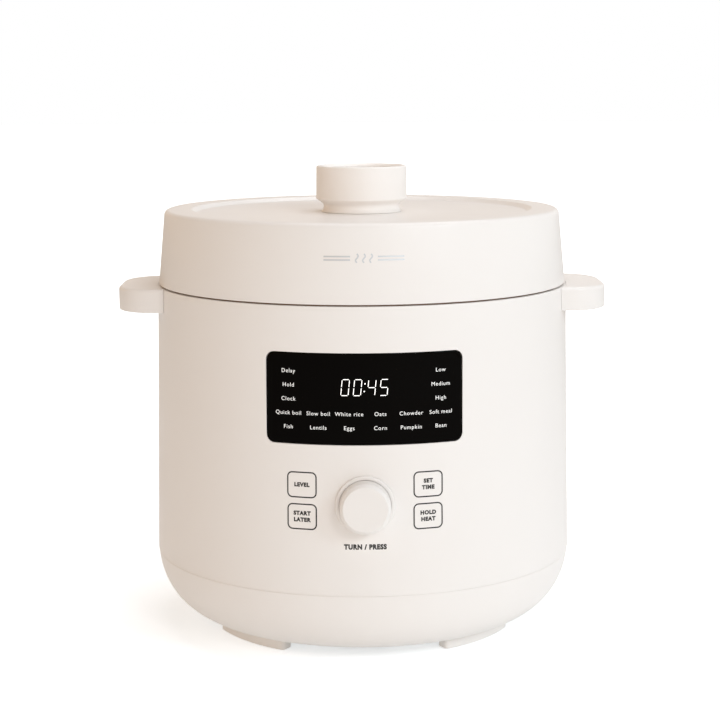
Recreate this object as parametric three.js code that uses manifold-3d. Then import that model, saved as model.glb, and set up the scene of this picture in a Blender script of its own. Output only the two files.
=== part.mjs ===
// Electric pressure cooker: an assembly of separate pieces, in millimetres, +Z up.
// The origin is on the floor under the pot's axis, and the front with its dial faces -Y.
import * as THREE from 'three';
import { mergeVertices } from 'three/addons/utils/BufferGeometryUtils.js';
import Module from 'manifold-3d';

const wasm = await Module();
wasm.setup();

// Driving dimensions -------------------------------------------------------------------------
const bodyRadius = 137.5; // widest radius, where the rounded base meets the wall
const bodyTop = 224.5; // top edge of the body wall
const draft = 0.0194; // radius lost per millimetre of height
const footHeight = 6;
const cornerWidth = 42.9; // rounded base corner, measured inwards
const cornerHeight = 48.5; // and upwards
const cornerPower = 2.136; // superellipse power of that corner
const baseSeam = 43.2; // seam between base cover and body shell, above the feet
const seamGap = 0.5;
const shellWall = 3;
const coverWall = 2.5;

const fit = 0.3; // gap between pieces that touch
const runGap = 0.7; // gap around pieces that turn
const sides = 40; // facets of the outer shells
const innerSides = 36; // facets of the inner rings
const potSides = 30; // facets of the pots and the plate over them
const heaterSides = 24;
const smallSides = 16; // facets of small round pieces

const lidGap = 1.5; // dark line between body and lid
const lidInset = 0.7; // lid edge inside the body edge
const lidHeight = 47.9;
const lidTaper = 0.094; // radius lost per millimetre of height
const lidEdge = 3; // rounded top edge
const lidRimWidth = 17.5; // flat ring around the sunken top
const lidSink = 2.5;
const lidWall = 2.5;

const knobNeckRadius = 24.6;
const knobNeckHeight = 8.1;
const knobRadius = 29.8;
const knobHeight = 29.8; // lid top to knob top
const knobWall = 4.5; // rim around the button
const spindleRadius = 20;
const spindleWall = 3;

const handleReach = 24.8; // beyond the wall
const handleHalfWidth = 43;
const handleThickness = 14.1;
const handleCorner = 24;
const handleEdge = 1.6;
const handleWall = 3;

const potWall = 1.5;
const potFloorWall = 2;
const potCorner = 14;
const linerWall = 1;
const linerHeight = 52.5; // liner floor above the feet
const rimThickness = 2;
const flangeThickness = 1.5;
const hoopWall = 1.5;
const lugReach = 5.5;
const lugThickness = 2.2;
const lugSpan = 24; // degrees
const lugCount = 6;
const lugLift = 1; // height between the meshing lugs
const upstandWall = 2.2;
const gutterDrop = 3;
const gutterWall = 1.5;

const sealHeight = 7.2;
const sealWidth = 7;
const plateWall = 1.7;
const plateDish = 4.3; // step down inside the rim
const plateDome = 3; // rise towards the middle
const spiderThickness = 2;
const spiderArms = 3;
const armWidth = 14;
const armAngle = 60; // first arm when unlocked, degrees from +X; the knob locks clockwise

const heaterInset = 2.714; // heater inside the flat bottom of the pot
const heaterThickness = 10.7;
const heaterRise = 6.5; // liner floor to heater underside
const sensorRadius = 14;
const elementInset = 25; // heating element inside the heater's edge
const elementWire = 2.7;
const supportInset = 12; // ends of the heater's support inside the element

const windowArc = 121.6; // display window, measured along the wall
const windowHeight = 54.9;
const windowDrop = 54.75; // body top to its middle
const windowCorner = 5;
const windowThickness = 1.8;

const dialDrop = 63.95; // middle of the window to the dial's axis
const dialRadius = 15.6;
const dialReach = 13; // face in front of the wall
const dialDepth = 11;
const dialEdge = 1.2;
const dialTravel = 1;
const bezelWidth = 2.4;
const bezelReach = 1.8;
const touchArc = 38.5; // touch keys, along the wall from the middle
const touchRises = [11.5, -8]; // touch keys above and below the dial's axis
const boardThickness = 1.6;
const boardSetback = 4.2; // upright boards in front of the liner
const touchRadius = 5;
const touchClearance = 0.18168; // touch pads behind the wall's inner face

const postInset = 14.6; // posts that carry the liner, inside the flat base floor's edge
const postRadius = 6.5;
const screwHead = 4;
const screwShank = 1.6;
const screwLength = 16;
const boardLevel = 12; // power board above the base floor
const boardHalf = [48, 38];
const standoffInset = 6;
const standoffRadius = 3.5;
const ventInset = 8.6; // vent slots, inside the flat base floor's edge
const ventLength = 24;
const ventHalfWidth = 3;
const footInside = 1.5; // feet, on both sides of the flat base floor's edge
const footOutside = 8.4;
const footSpan = 36; // degrees
const lipHeight = 7; // base cover's lip inside the body shell
const lipWall = 2;

const inletWidth = 32;
const inletHeight = 24;
const inletDepth = 28;
const inletLevel = 36;
const cupWidth = 44;
const cupHeight = 50;
const cupDrop = 4; // drain spout above the cup
const cupWall = 1.5;
const cupCorner = 4;
const gutterDepth = 5; // drain tube's axis below the gutter
const drainRadius = 3;
const drainWall = 1;

const stemRadius = 5;
const guideOuter = 12;
const guideHeight = 29;
const valveCircle = 50; // limiter and float valve from the axis
const nozzleRadius = 4;
const nozzleHeight = 14;
const weightRadius = 10;
const guardRadius = 13;
const pinRadius = 2.6;
const floatRise = 4;
const lidPostInset = 20.714; // posts under the lid, inside the plate's dish
const lidPostRadius = 5;
const postAngles = [105, 225, 345];
const buttonTravel = 3;
const buttonThickness = 3;
const buttonSink = 2.2; // button below the knob's rim

// Derived levels and radii ---------------------------------------------------------------------
const cornerTop = footHeight + cornerHeight;
const cornerStart = bodyRadius - cornerWidth;
const postCircle = cornerStart - postInset;
const windowLevel = bodyTop - windowDrop;
const dialLevel = windowLevel - dialDrop;
const touchLevels = touchRises.map((rise) => dialLevel + rise);
const seamLevel = footHeight + baseSeam;
const shellRadius = (z) => bodyRadius - draft * (z - cornerTop);
const lidBottom = bodyTop + lidGap;
const lidTop = lidBottom + lidHeight;
const lidRadius = (z) => shellRadius(bodyTop) - lidInset - lidTaper * (z - lidBottom);
const coverTop = lidTop - lidSink; // sunken middle of the lid
const coverUnder = coverTop - lidWall;

const upstandOuter = lidRadius(lidBottom + 2) - lidWall - fit;
const collarOuter = shellRadius(bodyTop) - shellWall - fit;
const hoopOuter = Math.min(upstandOuter, collarOuter) - upstandWall - runGap;
const hoopInner = hoopOuter - hoopWall;
const lugInner = hoopInner - lugReach;
const potLugOuter = hoopInner - 2 * runGap;
const flangeOuter = lugInner - 2 * runGap;
const linerRadius = flangeOuter - 4;
const potRadius = linerRadius - linerWall - 2.5;
const heaterRadius = potRadius - potCorner - heaterInset;
const elementRadius = heaterRadius - elementInset;
const sealOuter = flangeOuter - 1;
const sealInner = sealOuter - sealWidth;

const potRimBottom = bodyTop - rimThickness;
const flangeTop = potRimBottom - fit;
const flangeBottom = flangeTop - flangeThickness;
const ringLugTop = flangeBottom - lugLift;
const hoopBottom = ringLugTop - lugThickness;
const gutterFloor = hoopBottom - gutterDrop;
const drainLevel = gutterFloor - gutterWall - gutterDepth;
const cupBottom = drainLevel - drainRadius - drainWall - cupDrop - cupHeight;
const sealBottom = bodyTop + fit;
const plateBottom = sealBottom + sealHeight + fit;
const plateTop = plateBottom + plateWall;
const hoopFlangeBottom = plateTop + 0.5;
const hoopTop = hoopFlangeBottom + hoopWall;
const spiderBottom = hoopTop + fit;
const spiderTop = spiderBottom + spiderThickness;
const dishRadius = sealInner - 5.5;
const dishTop = plateTop - plateDish;
const domeTop = dishTop + plateDome;
const lidPostCircle = dishRadius - lidPostInset;
const plateSurface = (r) => dishTop + plateDome * (1 - (r / dishRadius) ** 2);

const linerFloor = footHeight + linerHeight;
const linerFloorTop = linerFloor + linerWall;
const heaterBottom = linerFloorTop + heaterRise;
const heaterTop = heaterBottom + heaterThickness;
const potBottom = heaterTop + fit;
const potFloor = potBottom + potFloorWall;
const baseFloor = footHeight + coverWall;
const touchLevel = (touchLevels[0] + touchLevels[1]) / 2;
const boardFront = -(linerRadius + boardSetback); // front face of the upright boards
const shellInside = shellRadius(windowLevel + windowHeight / 2) - shellWall;
const boardRoom = shellInside * Math.cos(Math.PI / sides) - fit;
const boardHalfWidth = Math.sqrt(boardRoom ** 2 - boardFront ** 2); // as wide as the wall lets them be
const cupBack = bodyRadius + 0.4;
const cupFront = shellRadius(dialLevel) + dialReach; // as far behind as the dial reaches in front
const cupHalf = cupWidth / 2;

// Finishes -------------------------------------------------------------------------------------
const finish = (color, roughness, metalness = 0) => () =>
  new THREE.MeshStandardMaterial({ color, roughness, metalness });
const cream = finish(0xefe8de, 0.35);
const creamMatt = finish(0xe9e1d6, 0.5);
const blackGloss = finish(0x0a0807, 0.12);
const darkPlastic = finish(0x2c2a29, 0.6);
const steel = finish(0xb9bbbd, 0.3, 1);
const aluminium = finish(0xc6c8ca, 0.45, 1);
const coated = finish(0x3a3a3c, 0.5, 0.3);
const rubber = finish(0xd8d6d2, 0.8);
const silicone = finish(0xe8e6e1, 0.7);
const circuit = finish(0x1d5a3a, 0.55);
const brass = finish(0xc2a14d, 0.35, 1);
const smoky = finish(0x8d8f92, 0.2);

// Geometry helpers -----------------------------------------------------------------------------
const degrees = (angle) => THREE.MathUtils.degToRad(angle);
const polar = (radius, angle) => [radius * Math.cos(degrees(angle)), radius * Math.sin(degrees(angle))];

// Closed mesh to solid: only positions are kept, and shared corners are merged.
function solid(geometry) {
  const bare = new THREE.BufferGeometry();
  bare.setAttribute('position', geometry.getAttribute('position').clone());
  if (geometry.index) bare.setIndex(geometry.index.clone());
  const merged = mergeVertices(bare, 1e-4);
  const kept = [];
  const index = merged.index.array;
  for (let i = 0; i < index.length; i += 3) {
    const [a, b, c] = [index[i], index[i + 1], index[i + 2]];
    if (a !== b && b !== c && c !== a) kept.push(a, b, c);
  }
  const vertProperties = new Float32Array(merged.getAttribute('position').array);
  const triVerts = new Uint32Array(kept);
  return new wasm.Manifold(new wasm.Mesh({ numProp: 3, vertProperties, triVerts }));
}

// Solid of revolution about +Z from [radius, height] points, listed anticlockwise.
// A profile off the axis closes on itself.
function revolve(profile, count = innerSides) {
  const points = profile.map(([r, z]) => new THREE.Vector2(Math.max(r, 0), z));
  const onAxis = points[0].x === 0 && points[points.length - 1].x === 0;
  if (!onAxis) points.push(points[0].clone());
  return new THREE.LatheGeometry(points, count).rotateX(Math.PI / 2);
}

const ring = (inner, outer, z0, z1, count = innerSides) =>
  revolve([[inner, z0], [outer, z0], [outer, z1], [inner, z1]], count);

const disc = (radius, z0, z1, count = smallSides) =>
  revolve([[0, z0], [radius, z0], [radius, z1], [0, z1]], count);

const block = (x0, x1, y0, y1, z0, z1) =>
  new THREE.BoxGeometry(x1 - x0, y1 - y0, z1 - z0).translate((x0 + x1) / 2, (y0 + y1) / 2, (z0 + z1) / 2);

// Outline with round corners about the origin.
function roundedOutline(halfWidth, halfHeight, corner) {
  const shape = new THREE.Shape();
  const [x, y] = [halfWidth - corner, halfHeight - corner];
  shape.absarc(x, y, corner, 0, Math.PI / 2);
  shape.absarc(-x, y, corner, Math.PI / 2, Math.PI);
  shape.absarc(-x, -y, corner, Math.PI, 1.5 * Math.PI);
  shape.absarc(x, -y, corner, 1.5 * Math.PI, 2 * Math.PI);
  shape.closePath();
  return shape;
}

const extrude = (shape, depth, curveSegments = 4) =>
  new THREE.ExtrudeGeometry(shape, { depth, bevelEnabled: false, curveSegments });

// Turns a piece built along +Z so that it points to the front, at a height.
const toFront = (geometry, level) => geometry.rotateX(Math.PI / 2).translate(0, 0, level);

const joined = (...geometries) => geometries.map(solid).reduce((sum, next) => sum.add(next));
const cut = (body, ...geometries) => geometries.map(solid).reduce((left, next) => left.subtract(next), body);

// Sector of a ring about the axis, centred on an angle.
function sector(inner, outer, z0, z1, angle, span, steps = 4) {
  const shape = new THREE.Shape();
  const [from, to] = [degrees(angle - span / 2), degrees(angle + span / 2)];
  shape.absarc(0, 0, outer, from, to, false);
  shape.absarc(0, 0, inner, to, from, true);
  shape.closePath();
  return extrude(shape, z1 - z0, steps).translate(0, 0, z0);
}

// The wall's outer surface as a solid core, grown by a clearance.
const wallCore = (grow, z0, z1) =>
  revolve([[0, z0], [shellRadius(z0) + grow, z0], [shellRadius(z1) + grow, z1], [0, z1]], sides);

const cooker = new THREE.Group();

function add(name, shape, material) {
  let geometry = shape;
  if (!shape.isBufferGeometry) {
    const mesh = shape.getMesh();
    geometry = new THREE.BufferGeometry();
    geometry.setAttribute('position', new THREE.BufferAttribute(new Float32Array(mesh.vertProperties), 3));
    geometry.setIndex(new THREE.BufferAttribute(new Uint32Array(mesh.triVerts), 1));
  }
  const piece = new THREE.Mesh(geometry, material());
  piece.name = name;
  cooker.add(piece);
}

// Base ------------------------------------------------------------------------------------------
// Points of the rounded base corner up to a height, for a wall inset from the outside.
function cornerCurve(inset, top, steps) {
  const [width, height] = [cornerWidth - inset, cornerHeight - inset];
  const bottom = footHeight + inset;
  const end = Math.acos((1 - (top - bottom) / height) ** (cornerPower / 2));
  return Array.from({ length: steps + 1 }, (_, i) => {
    const t = (end * i) / steps;
    const r = cornerStart + width * Math.sin(t) ** (2 / cornerPower);
    return [r, bottom + height * (1 - Math.cos(t) ** (2 / cornerPower))];
  });
}

const postPlaces = [45, 135, 225, 315].map((angle) => polar(postCircle, angle));
const standoffHalf = boardHalf.map((half) => half - standoffInset);
const quarters = [[-1, -1], [1, -1], [1, 1], [-1, 1]];
const standoffPlaces = quarters.map(([x, y]) => [x * standoffHalf[0], y * standoffHalf[1]]);
const lipOuter = shellRadius(seamLevel) - shellWall - fit;

const ventEnd = cornerStart - ventInset;

function baseCover() {
  const top = seamLevel - seamGap / 2;
  const lipTop = seamLevel + lipHeight;
  const profile = [
    [0, footHeight],
    ...cornerCurve(0, top, 8),
    [lipOuter, top],
    [lipOuter, lipTop],
    [lipOuter - lipWall, lipTop],
    ...cornerCurve(coverWall, top - 4, 4).reverse(),
    [0, baseFloor],
  ];
  let cover = solid(revolve(profile, sides));
  for (const [x, y] of postPlaces) {
    const post = disc(postRadius, footHeight + 1, linerFloor - fit, 10);
    cover = cover.add(solid(post.translate(x, y, 0)));
    cover = cut(
      cover,
      disc(screwHead + fit, footHeight - 1, footHeight + 3, 10).translate(x, y, 0),
      disc(screwShank + fit, footHeight, footHeight + 3 + screwLength, 8).translate(x, y, 0),
    );
  }
  for (const [x, y] of standoffPlaces) {
    const standoff = disc(standoffRadius, footHeight + 1, baseFloor + boardLevel, 8);
    cover = cover.add(solid(standoff.translate(x, y, 0)));
  }
  for (const group of [0, 90, 180, 270]) {
    for (const turn of [-7, 7]) {
      const [from, to] = [ventEnd - ventLength, ventEnd];
      const slot = block(from, to, -ventHalfWidth, ventHalfWidth, footHeight - 1, baseFloor + 1);
      cover = cut(cover, slot.rotateZ(degrees(group + turn)));
    }
  }
  return cut(cover, inletBlock(fit));
}

const inletBack = bodyRadius - inletDepth;

function inletBlock(grow) {
  const [half, rise] = [inletWidth / 2 + grow, inletHeight / 2 + grow];
  return block(-half, half, inletBack, bodyRadius + 10 * grow, inletLevel - rise, inletLevel + rise);
}

// Appliance inlet: a block with a socket cavity and three flat contacts.
function powerInlet() {
  const wall = 3;
  const [half, rise] = [inletWidth / 2 - wall, inletHeight / 2 - wall];
  const cavityBack = bodyRadius - 18;
  let inlet = solid(inletBlock(0));
  inlet = cut(inlet, block(-half, half, cavityBack, bodyRadius + 1, inletLevel - rise, inletLevel + rise));
  const contacts = [[-7, -1.5], [0, 3], [7, -1.5]];
  for (const [x, z] of contacts) {
    const level = inletLevel + z;
    inlet = inlet.add(solid(block(x - 1, x + 1, cavityBack - 1, bodyRadius - 5, level - 2, level + 2)));
  }
  return inlet;
}

function foot(angle) {
  const [inner, outer] = [cornerStart - footInside, cornerStart + footOutside];
  const body = solid(sector(inner, outer, 0, footHeight + 2, angle, footSpan));
  const above = [[0, footHeight - fit], ...cornerCurve(0, seamLevel - 10, 6), [0, seamLevel - 10]];
  const lowered = revolve(above.map(([r, z]) => [r, z - fit]), sides);
  return cut(body, lowered);
}

add('base_cover', baseCover(), cream);
add('power_inlet', powerInlet(), darkPlastic);
const footPlaces = { front_left: 222, front_right: 318, rear_left: 138, rear_right: 42 };
for (const [place, angle] of Object.entries(footPlaces)) {
  add(`foot_${place}`, foot(angle), cream);
}
postPlaces.forEach(([x, y], i) => {
  const head = disc(screwHead, footHeight + fit, footHeight + 2.5, 10);
  const shank = disc(screwShank, footHeight + 1, footHeight + 1 + screwLength, 8);
  add(`base_screw_${i + 1}`, joined(head.translate(x, y, 0), shank.translate(x, y, 0)), steel);
});

// Power electronics on the base floor -----------------------------------------------------------
const powerBoardTop = baseFloor + boardLevel + fit + boardThickness;
const onBoard = powerBoardTop + fit;
const [boardX, boardY] = boardHalf;
const powerBoardBottom = powerBoardTop - boardThickness;
add('power_board', block(-boardX, boardX, -boardY, boardY, powerBoardBottom, powerBoardTop), circuit);
add('power_relay', block(-40, -20, -8, 10, onBoard, onBoard + 16), darkPlastic);
add('filter_capacitor', disc(9, onBoard, onBoard + 22, 12).translate(30, -20, 0), blackGloss);

function heatSink() {
  const bars = [block(-10, 36, 14, 34, onBoard, onBoard + 3)];
  for (let x = -10; x < 36; x += 9) bars.push(block(x, x + 2, 14, 34, onBoard, onBoard + 20));
  return joined(...bars);
}
add('heat_sink', heatSink(), aluminium);

// Body shell --------------------------------------------------------------------------------------
const windowRadius = shellRadius(windowLevel);
const windowHalf = windowRadius * Math.sin(windowArc / 2 / windowRadius);

// Piece of wall between two depths under the surface, within an outline seen from the front.
function wallPatch(outline, level, outerDepth, innerDepth) {
  const reach = 60;
  const prism = toFront(extrude(outline, reach, 5), level).translate(0, -(bodyRadius - reach + 10), 0);
  const skin = solid(wallCore(-outerDepth, cornerTop, bodyTop));
  return skin.intersect(solid(prism)).subtract(solid(wallCore(-innerDepth, cornerTop - 1, bodyTop + 1)));
}

const windowOutline = (grow) =>
  roundedOutline(windowHalf + grow, windowHeight / 2 + grow, windowCorner + grow);
const tongueHalf = 15;
const tongueHeight = 7;
const tongueLevel = bodyTop - handleThickness / 2;

function handleTongue(side, grow) {
  const inner = shellRadius(bodyTop) - shellWall + fit - 2 * grow;
  const [half, rise] = [tongueHalf + grow, tongueHeight / 2 + grow];
  const [near, far] = [side * inner, side * (inner + 8)];
  return block(Math.min(near, far), Math.max(near, far), -half, half, tongueLevel - rise, tongueLevel + rise);
}

// Drain tube from the gutter out through the rear wall.
function drain(radius, from, to) {
  const length = to - from;
  return new THREE.CylinderGeometry(radius, radius, length, 10).translate(0, (from + to) / 2, drainLevel);
}

function bodyShell() {
  const bottom = seamLevel + seamGap / 2;
  const outside = [
    [bodyRadius - 0.1, bottom],
    [bodyRadius, cornerTop],
    [shellRadius(bodyTop), bodyTop],
  ];
  const inside = [
    [shellRadius(bodyTop) - shellWall, bodyTop],
    [bodyRadius - shellWall, cornerTop],
    [bodyRadius - 0.1 - shellWall, bottom],
  ];
  let shell = solid(revolve([...outside, ...inside], sides));
  shell = shell.subtract(wallPatch(windowOutline(fit), windowLevel, -1, windowThickness + fit));
  const lamp = roundedOutline(24, 16, 3);
  const shaftHole = disc(4.5, 0, bodyRadius + 5, 14);
  return cut(
    shell,
    toFront(extrude(lamp, bodyRadius, 3), windowLevel),
    toFront(shaftHole, dialLevel),
    handleTongue(1, fit),
    handleTongue(-1, fit),
    drain(drainRadius + drainWall + fit, linerRadius, bodyRadius + 5),
  );
}

add('body_shell', bodyShell(), cream);
add('display_window', wallPatch(windowOutline(0), windowLevel, 0, windowThickness), blackGloss);

// Side handle, hollow underneath, hugging the wall with a tongue through it.
function handle(side) {
  const tip = shellRadius(bodyTop) + handleReach;
  const half = tip / 2 - handleEdge;
  const plan = roundedOutline(half, handleHalfWidth - handleEdge, handleCorner);
  const bevel = { bevelThickness: handleEdge, bevelSize: handleEdge, bevelSegments: 1 };
  const options = { depth: handleThickness - 2 * handleEdge, curveSegments: 5, ...bevel };
  const middle = (side * tip) / 2;
  const underside = bodyTop - handleThickness;
  const slab = new THREE.ExtrudeGeometry(plan, options).translate(middle, 0, underside + handleEdge);
  const inset = (size) => size - handleWall;
  const hollowPlan = roundedOutline(inset(tip / 2), inset(handleHalfWidth), inset(handleCorner));
  const hollow = extrude(hollowPlan, inset(handleThickness) + 1, 3).translate(middle, 0, underside - 1);
  const below = underside - 2;
  const core = wallCore(fit, below, bodyTop + 2);
  const backing = solid(wallCore(fit + handleWall, below, bodyTop + 2));
  const pocket = solid(hollow).subtract(backing);
  return cut(solid(slab).subtract(pocket), core).add(solid(handleTongue(side, 0)));
}

add('handle_left', handle(-1), cream);
add('handle_right', handle(1), cream);

// Collar and liner ----------------------------------------------------------------------------------
const gutterInner = linerRadius + 1.5;
const gutterWallTop = flangeBottom - fit;
const catchY = (gutterInner + hoopOuter) / 2; // outlet in the gutter, at the rear

function topCollar() {
  const wallOuter = Math.min(collarOuter, shellRadius(gutterFloor) - shellWall - fit);
  const profile = [
    [gutterInner, gutterFloor - gutterWall],
    [wallOuter, gutterFloor - gutterWall],
    [wallOuter, bodyTop - fit],
    [upstandOuter, bodyTop - fit],
    [upstandOuter, lidBottom + 1.5],
    [hoopOuter + runGap, lidBottom + 1.5],
    [hoopOuter + runGap, gutterFloor],
    [gutterInner + 2, gutterFloor],
    [gutterInner + 2, gutterWallTop],
    [gutterInner, gutterWallTop],
  ];
  const outlet = disc(drainRadius - 1, gutterFloor - 3, gutterFloor + 1, 12).translate(0, catchY, 0);
  return cut(solid(revolve(profile, sides)), outlet);
}

// Drain spout: a tube with a funnel block under the gutter's outlet, ending over the cup.
function drainSpout() {
  const [from, to] = [linerRadius + 3, (cupBack + cupFront) / 2 + 3];
  const top = gutterFloor - gutterWall - fit;
  const [outer, bore] = [drainRadius + drainWall, drainRadius - 1];
  const funnel = block(-outer, outer, catchY - outer, catchY + outer, drainLevel - outer, top);
  const throat = disc(bore, drainLevel, top + 1, 8).translate(0, catchY, 0);
  const mouth = disc(bore, drainLevel - outer - 2, drainLevel, 8).translate(0, to - outer, 0);
  const tube = drain(outer, catchY, to);
  return cut(joined(funnel, tube), drain(bore, from + 3, to - 1.2), throat, mouth);
}

function outerPot() {
  const inner = linerRadius - linerWall;
  const profile = [
    [7, linerFloor],
    [linerRadius - 8, linerFloor],
    [linerRadius, linerFloor + 8],
    [linerRadius, flangeBottom],
    [flangeOuter, flangeBottom],
    [flangeOuter, flangeTop],
    [inner, flangeTop],
    [inner, linerFloor + 8.4],
    [linerRadius - 8.4, linerFloorTop],
    [7, linerFloorTop],
  ];
  let pot = solid(revolve(profile, potSides));
  for (let i = 0; i < lugCount; i += 1) {
    const angle = (360 / lugCount) * (i + 0.5);
    const lug = sector(flangeOuter - 2, potLugOuter, flangeBottom, flangeTop, angle, lugSpan, 3);
    pot = pot.add(solid(lug));
  }
  return pot;
}

add('top_collar', topCollar(), darkPlastic);
add('drain_spout', drainSpout(), darkPlastic);
add('outer_pot', outerPot(), aluminium);

// Heater, its support and the sensor --------------------------------------------------------------
const sensorHole = sensorRadius + 1;
add('heating_plate', ring(sensorHole, heaterRadius, heaterBottom, heaterTop, heaterSides), aluminium);

function heatingElement() {
  const level = heaterBottom - fit - elementWire;
  const turns = Array.from({ length: 6 }, (_, i) => {
    const angle = (i * Math.PI) / 3;
    return [elementRadius + elementWire * Math.cos(angle), level + elementWire * Math.sin(angle)];
  });
  return revolve(turns, heaterSides);
}

// Spring bridge that carries the heater on the liner floor.
function plateSupport() {
  const [half, leg, wall] = [elementRadius - supportInset, 10, 1.5];
  const [low, high] = [linerFloorTop + fit, heaterBottom - fit];
  const bridge = joined(
    block(-half, half, -15, 15, high - wall, high),
    block(-half, -half + leg, -15, 15, low, high),
    block(half - leg, half, -15, 15, low, high),
  );
  return cut(bridge, disc(sensorHole - 1.5, low, high + 1));
}

const sensorTop = potBottom - fit;
const sensorStem = 4;

function sensorCup() {
  const skirt = 8;
  return revolve([
    [0, linerFloor - 6],
    [sensorStem, linerFloor - 6],
    [sensorStem, sensorTop - 2],
    [sensorRadius - 2, sensorTop - 2],
    [sensorRadius - 2, sensorTop - skirt],
    [sensorRadius, sensorTop - skirt],
    [sensorRadius, sensorTop],
    [0, sensorTop],
  ], smallSides);
}

// Coil spring around an upright axis, as round wire with flat ends.
function coil(radius, wire, z0, z1, turns) {
  class Helix extends THREE.Curve {
    getPoint(t, target = new THREE.Vector3()) {
      const angle = 2 * Math.PI * turns * t;
      const z = z0 + wire + (z1 - z0 - 2 * wire) * t;
      return target.set(radius * Math.cos(angle), radius * Math.sin(angle), z);
    }
  }
  const section = new THREE.Shape();
  section.absarc(0, 0, wire, 0, 2 * Math.PI);
  const options = { steps: turns * 8, extrudePath: new Helix(), curveSegments: 3 };
  return new THREE.ExtrudeGeometry(section, options);
}

add('heating_element', heatingElement(), coated);
add('plate_support', plateSupport(), steel);
add('sensor_cup', sensorCup(), aluminium);
add('sensor_spring', coil(8, 0.6, linerFloorTop + fit, sensorTop - 2 - fit, 3), steel);
add('pressure_switch', block(34, 56, -7, 7, linerFloor - fit - 14, linerFloor - fit), darkPlastic);
const fuse = new THREE.CylinderGeometry(3, 3, 22, 12).rotateZ(Math.PI / 2);
add('thermal_fuse', fuse.translate(0, 40, linerFloor - fit - 3), brass);

// Front electronics ---------------------------------------------------------------------------------
function uprightBoard(level, halfHeight) {
  const back = boardFront + boardThickness;
  const [low, high] = [level - halfHeight, level + halfHeight];
  return block(-boardHalfWidth, boardHalfWidth, boardFront, back, low, high);
}

const ledFront = -(shellRadius(windowLevel) - windowThickness - 5);
add('display_board', uprightBoard(windowLevel, 26), circuit);
const ledModule = block(-17, 17, ledFront, boardFront - fit, windowLevel, windowLevel + 14);
add('led_module', ledModule, darkPlastic);
add('touch_board', uprightBoard(touchLevel, 20), circuit);
const touchX = bodyRadius * Math.sin(touchArc / bodyRadius);
const touchWall = shellRadius(Math.max(...touchLevels)) - shellWall - touchClearance;
const touchReach = Math.sqrt(touchWall ** 2 - (touchX + touchRadius) ** 2);
[-1, 1].forEach((side) => {
  touchLevels.forEach((level, row) => {
    const length = touchReach + boardFront - 2 * fit;
    const pad = disc(touchRadius, -boardFront + fit, -boardFront + fit + length, 10);
    const name = `touch_pad_${side < 0 ? 'left' : 'right'}_${row === 0 ? 'upper' : 'lower'}`;
    add(name, toFront(pad, level).translate(side * touchX, 0, 0), rubber);
  });
});

// Dial: fixed bezel, encoder body behind the wall, a rotor, and a knob on its pressed shaft -----
const dialWall = shellRadius(dialLevel);
const dialFace = dialWall + dialReach;
const dialBack = dialFace - dialDepth;
const shaftFront = dialFace - 2.5;
const encoderFront = dialWall - shellWall - 1.5;

function dialBezel() {
  const blank = ring(5.5, dialRadius + bezelWidth, dialWall - 6, dialWall + bezelReach, 24);
  const relief = disc(dialRadius + 0.5, dialBack - dialTravel - fit, dialWall + bezelReach + 1, 24);
  return cut(solid(toFront(blank, dialLevel)), toFront(relief, dialLevel)).subtract(
    solid(wallCore(fit, cornerTop, bodyTop)),
  );
}

function controlDial() {
  const hub = 3.6;
  return toFront(revolve([
    [hub, dialBack],
    [dialRadius, dialBack],
    [dialRadius - 0.3, dialFace - dialEdge],
    [dialRadius - 0.3 - dialEdge * 0.3, dialFace - dialEdge * 0.3],
    [dialRadius - 0.3 - dialEdge, dialFace],
    [0, dialFace],
    [0, shaftFront + fit],
    [hub, shaftFront + fit],
  ], 24), dialLevel);
}

add('dial_bezel', dialBezel(), creamMatt);
add('control_dial', controlDial(), creamMatt);
const encoderBack = -boardFront + fit;
const encoder = solid(block(-7, 7, -encoderFront, -encoderBack, dialLevel - 7, dialLevel + 7));
const encoderBore = disc(3.9, encoderBack + 1.5, encoderFront + 1, 14);
add('encoder_body', cut(encoder, toFront(encoderBore, dialLevel)), steel);
const rotor = ring(2.3, 3.6, encoderBack + 2, encoderFront + 1, 14);
add('encoder_rotor', toFront(rotor, dialLevel), brass);
const shaftBack = encoderBack + 2 + dialTravel;
add('encoder_shaft', toFront(disc(2, shaftBack, shaftFront, 12), dialLevel), steel);

// Condensate cup and its bracket on the rear wall ---------------------------------------------------
function condensateCup() {
  const plan = (grow) => {
    const [half, deep] = [cupHalf - grow, (cupFront - cupBack) / 2 - grow];
    return roundedOutline(half, deep, cupCorner - grow);
  };
  const middle = (cupFront + cupBack) / 2;
  const outside = extrude(plan(0), cupHeight, 3).translate(0, middle, cupBottom);
  const inside = extrude(plan(cupWall), cupHeight, 3).translate(0, middle, cupBottom + cupWall);
  return cut(solid(outside), inside);
}

function cupBracket() {
  const rail = 2.5;
  const [half, inner] = [cupHalf + fit + rail, cupHalf + fit];
  const floor = cupBottom - fit;
  const top = cupBottom + cupHeight;
  const frame = solid(block(-half, half, bodyRadius - 10, cupFront - 4, floor - rail, top - 5));
  const room = block(-inner, inner, bodyRadius - 20, cupFront, floor, top + 5);
  return cut(frame, room, wallCore(fit, cornerTop, bodyTop));
}

add('cup_bracket', cupBracket(), cream);
add('condensate_cup', condensateCup(), smoky);

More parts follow.
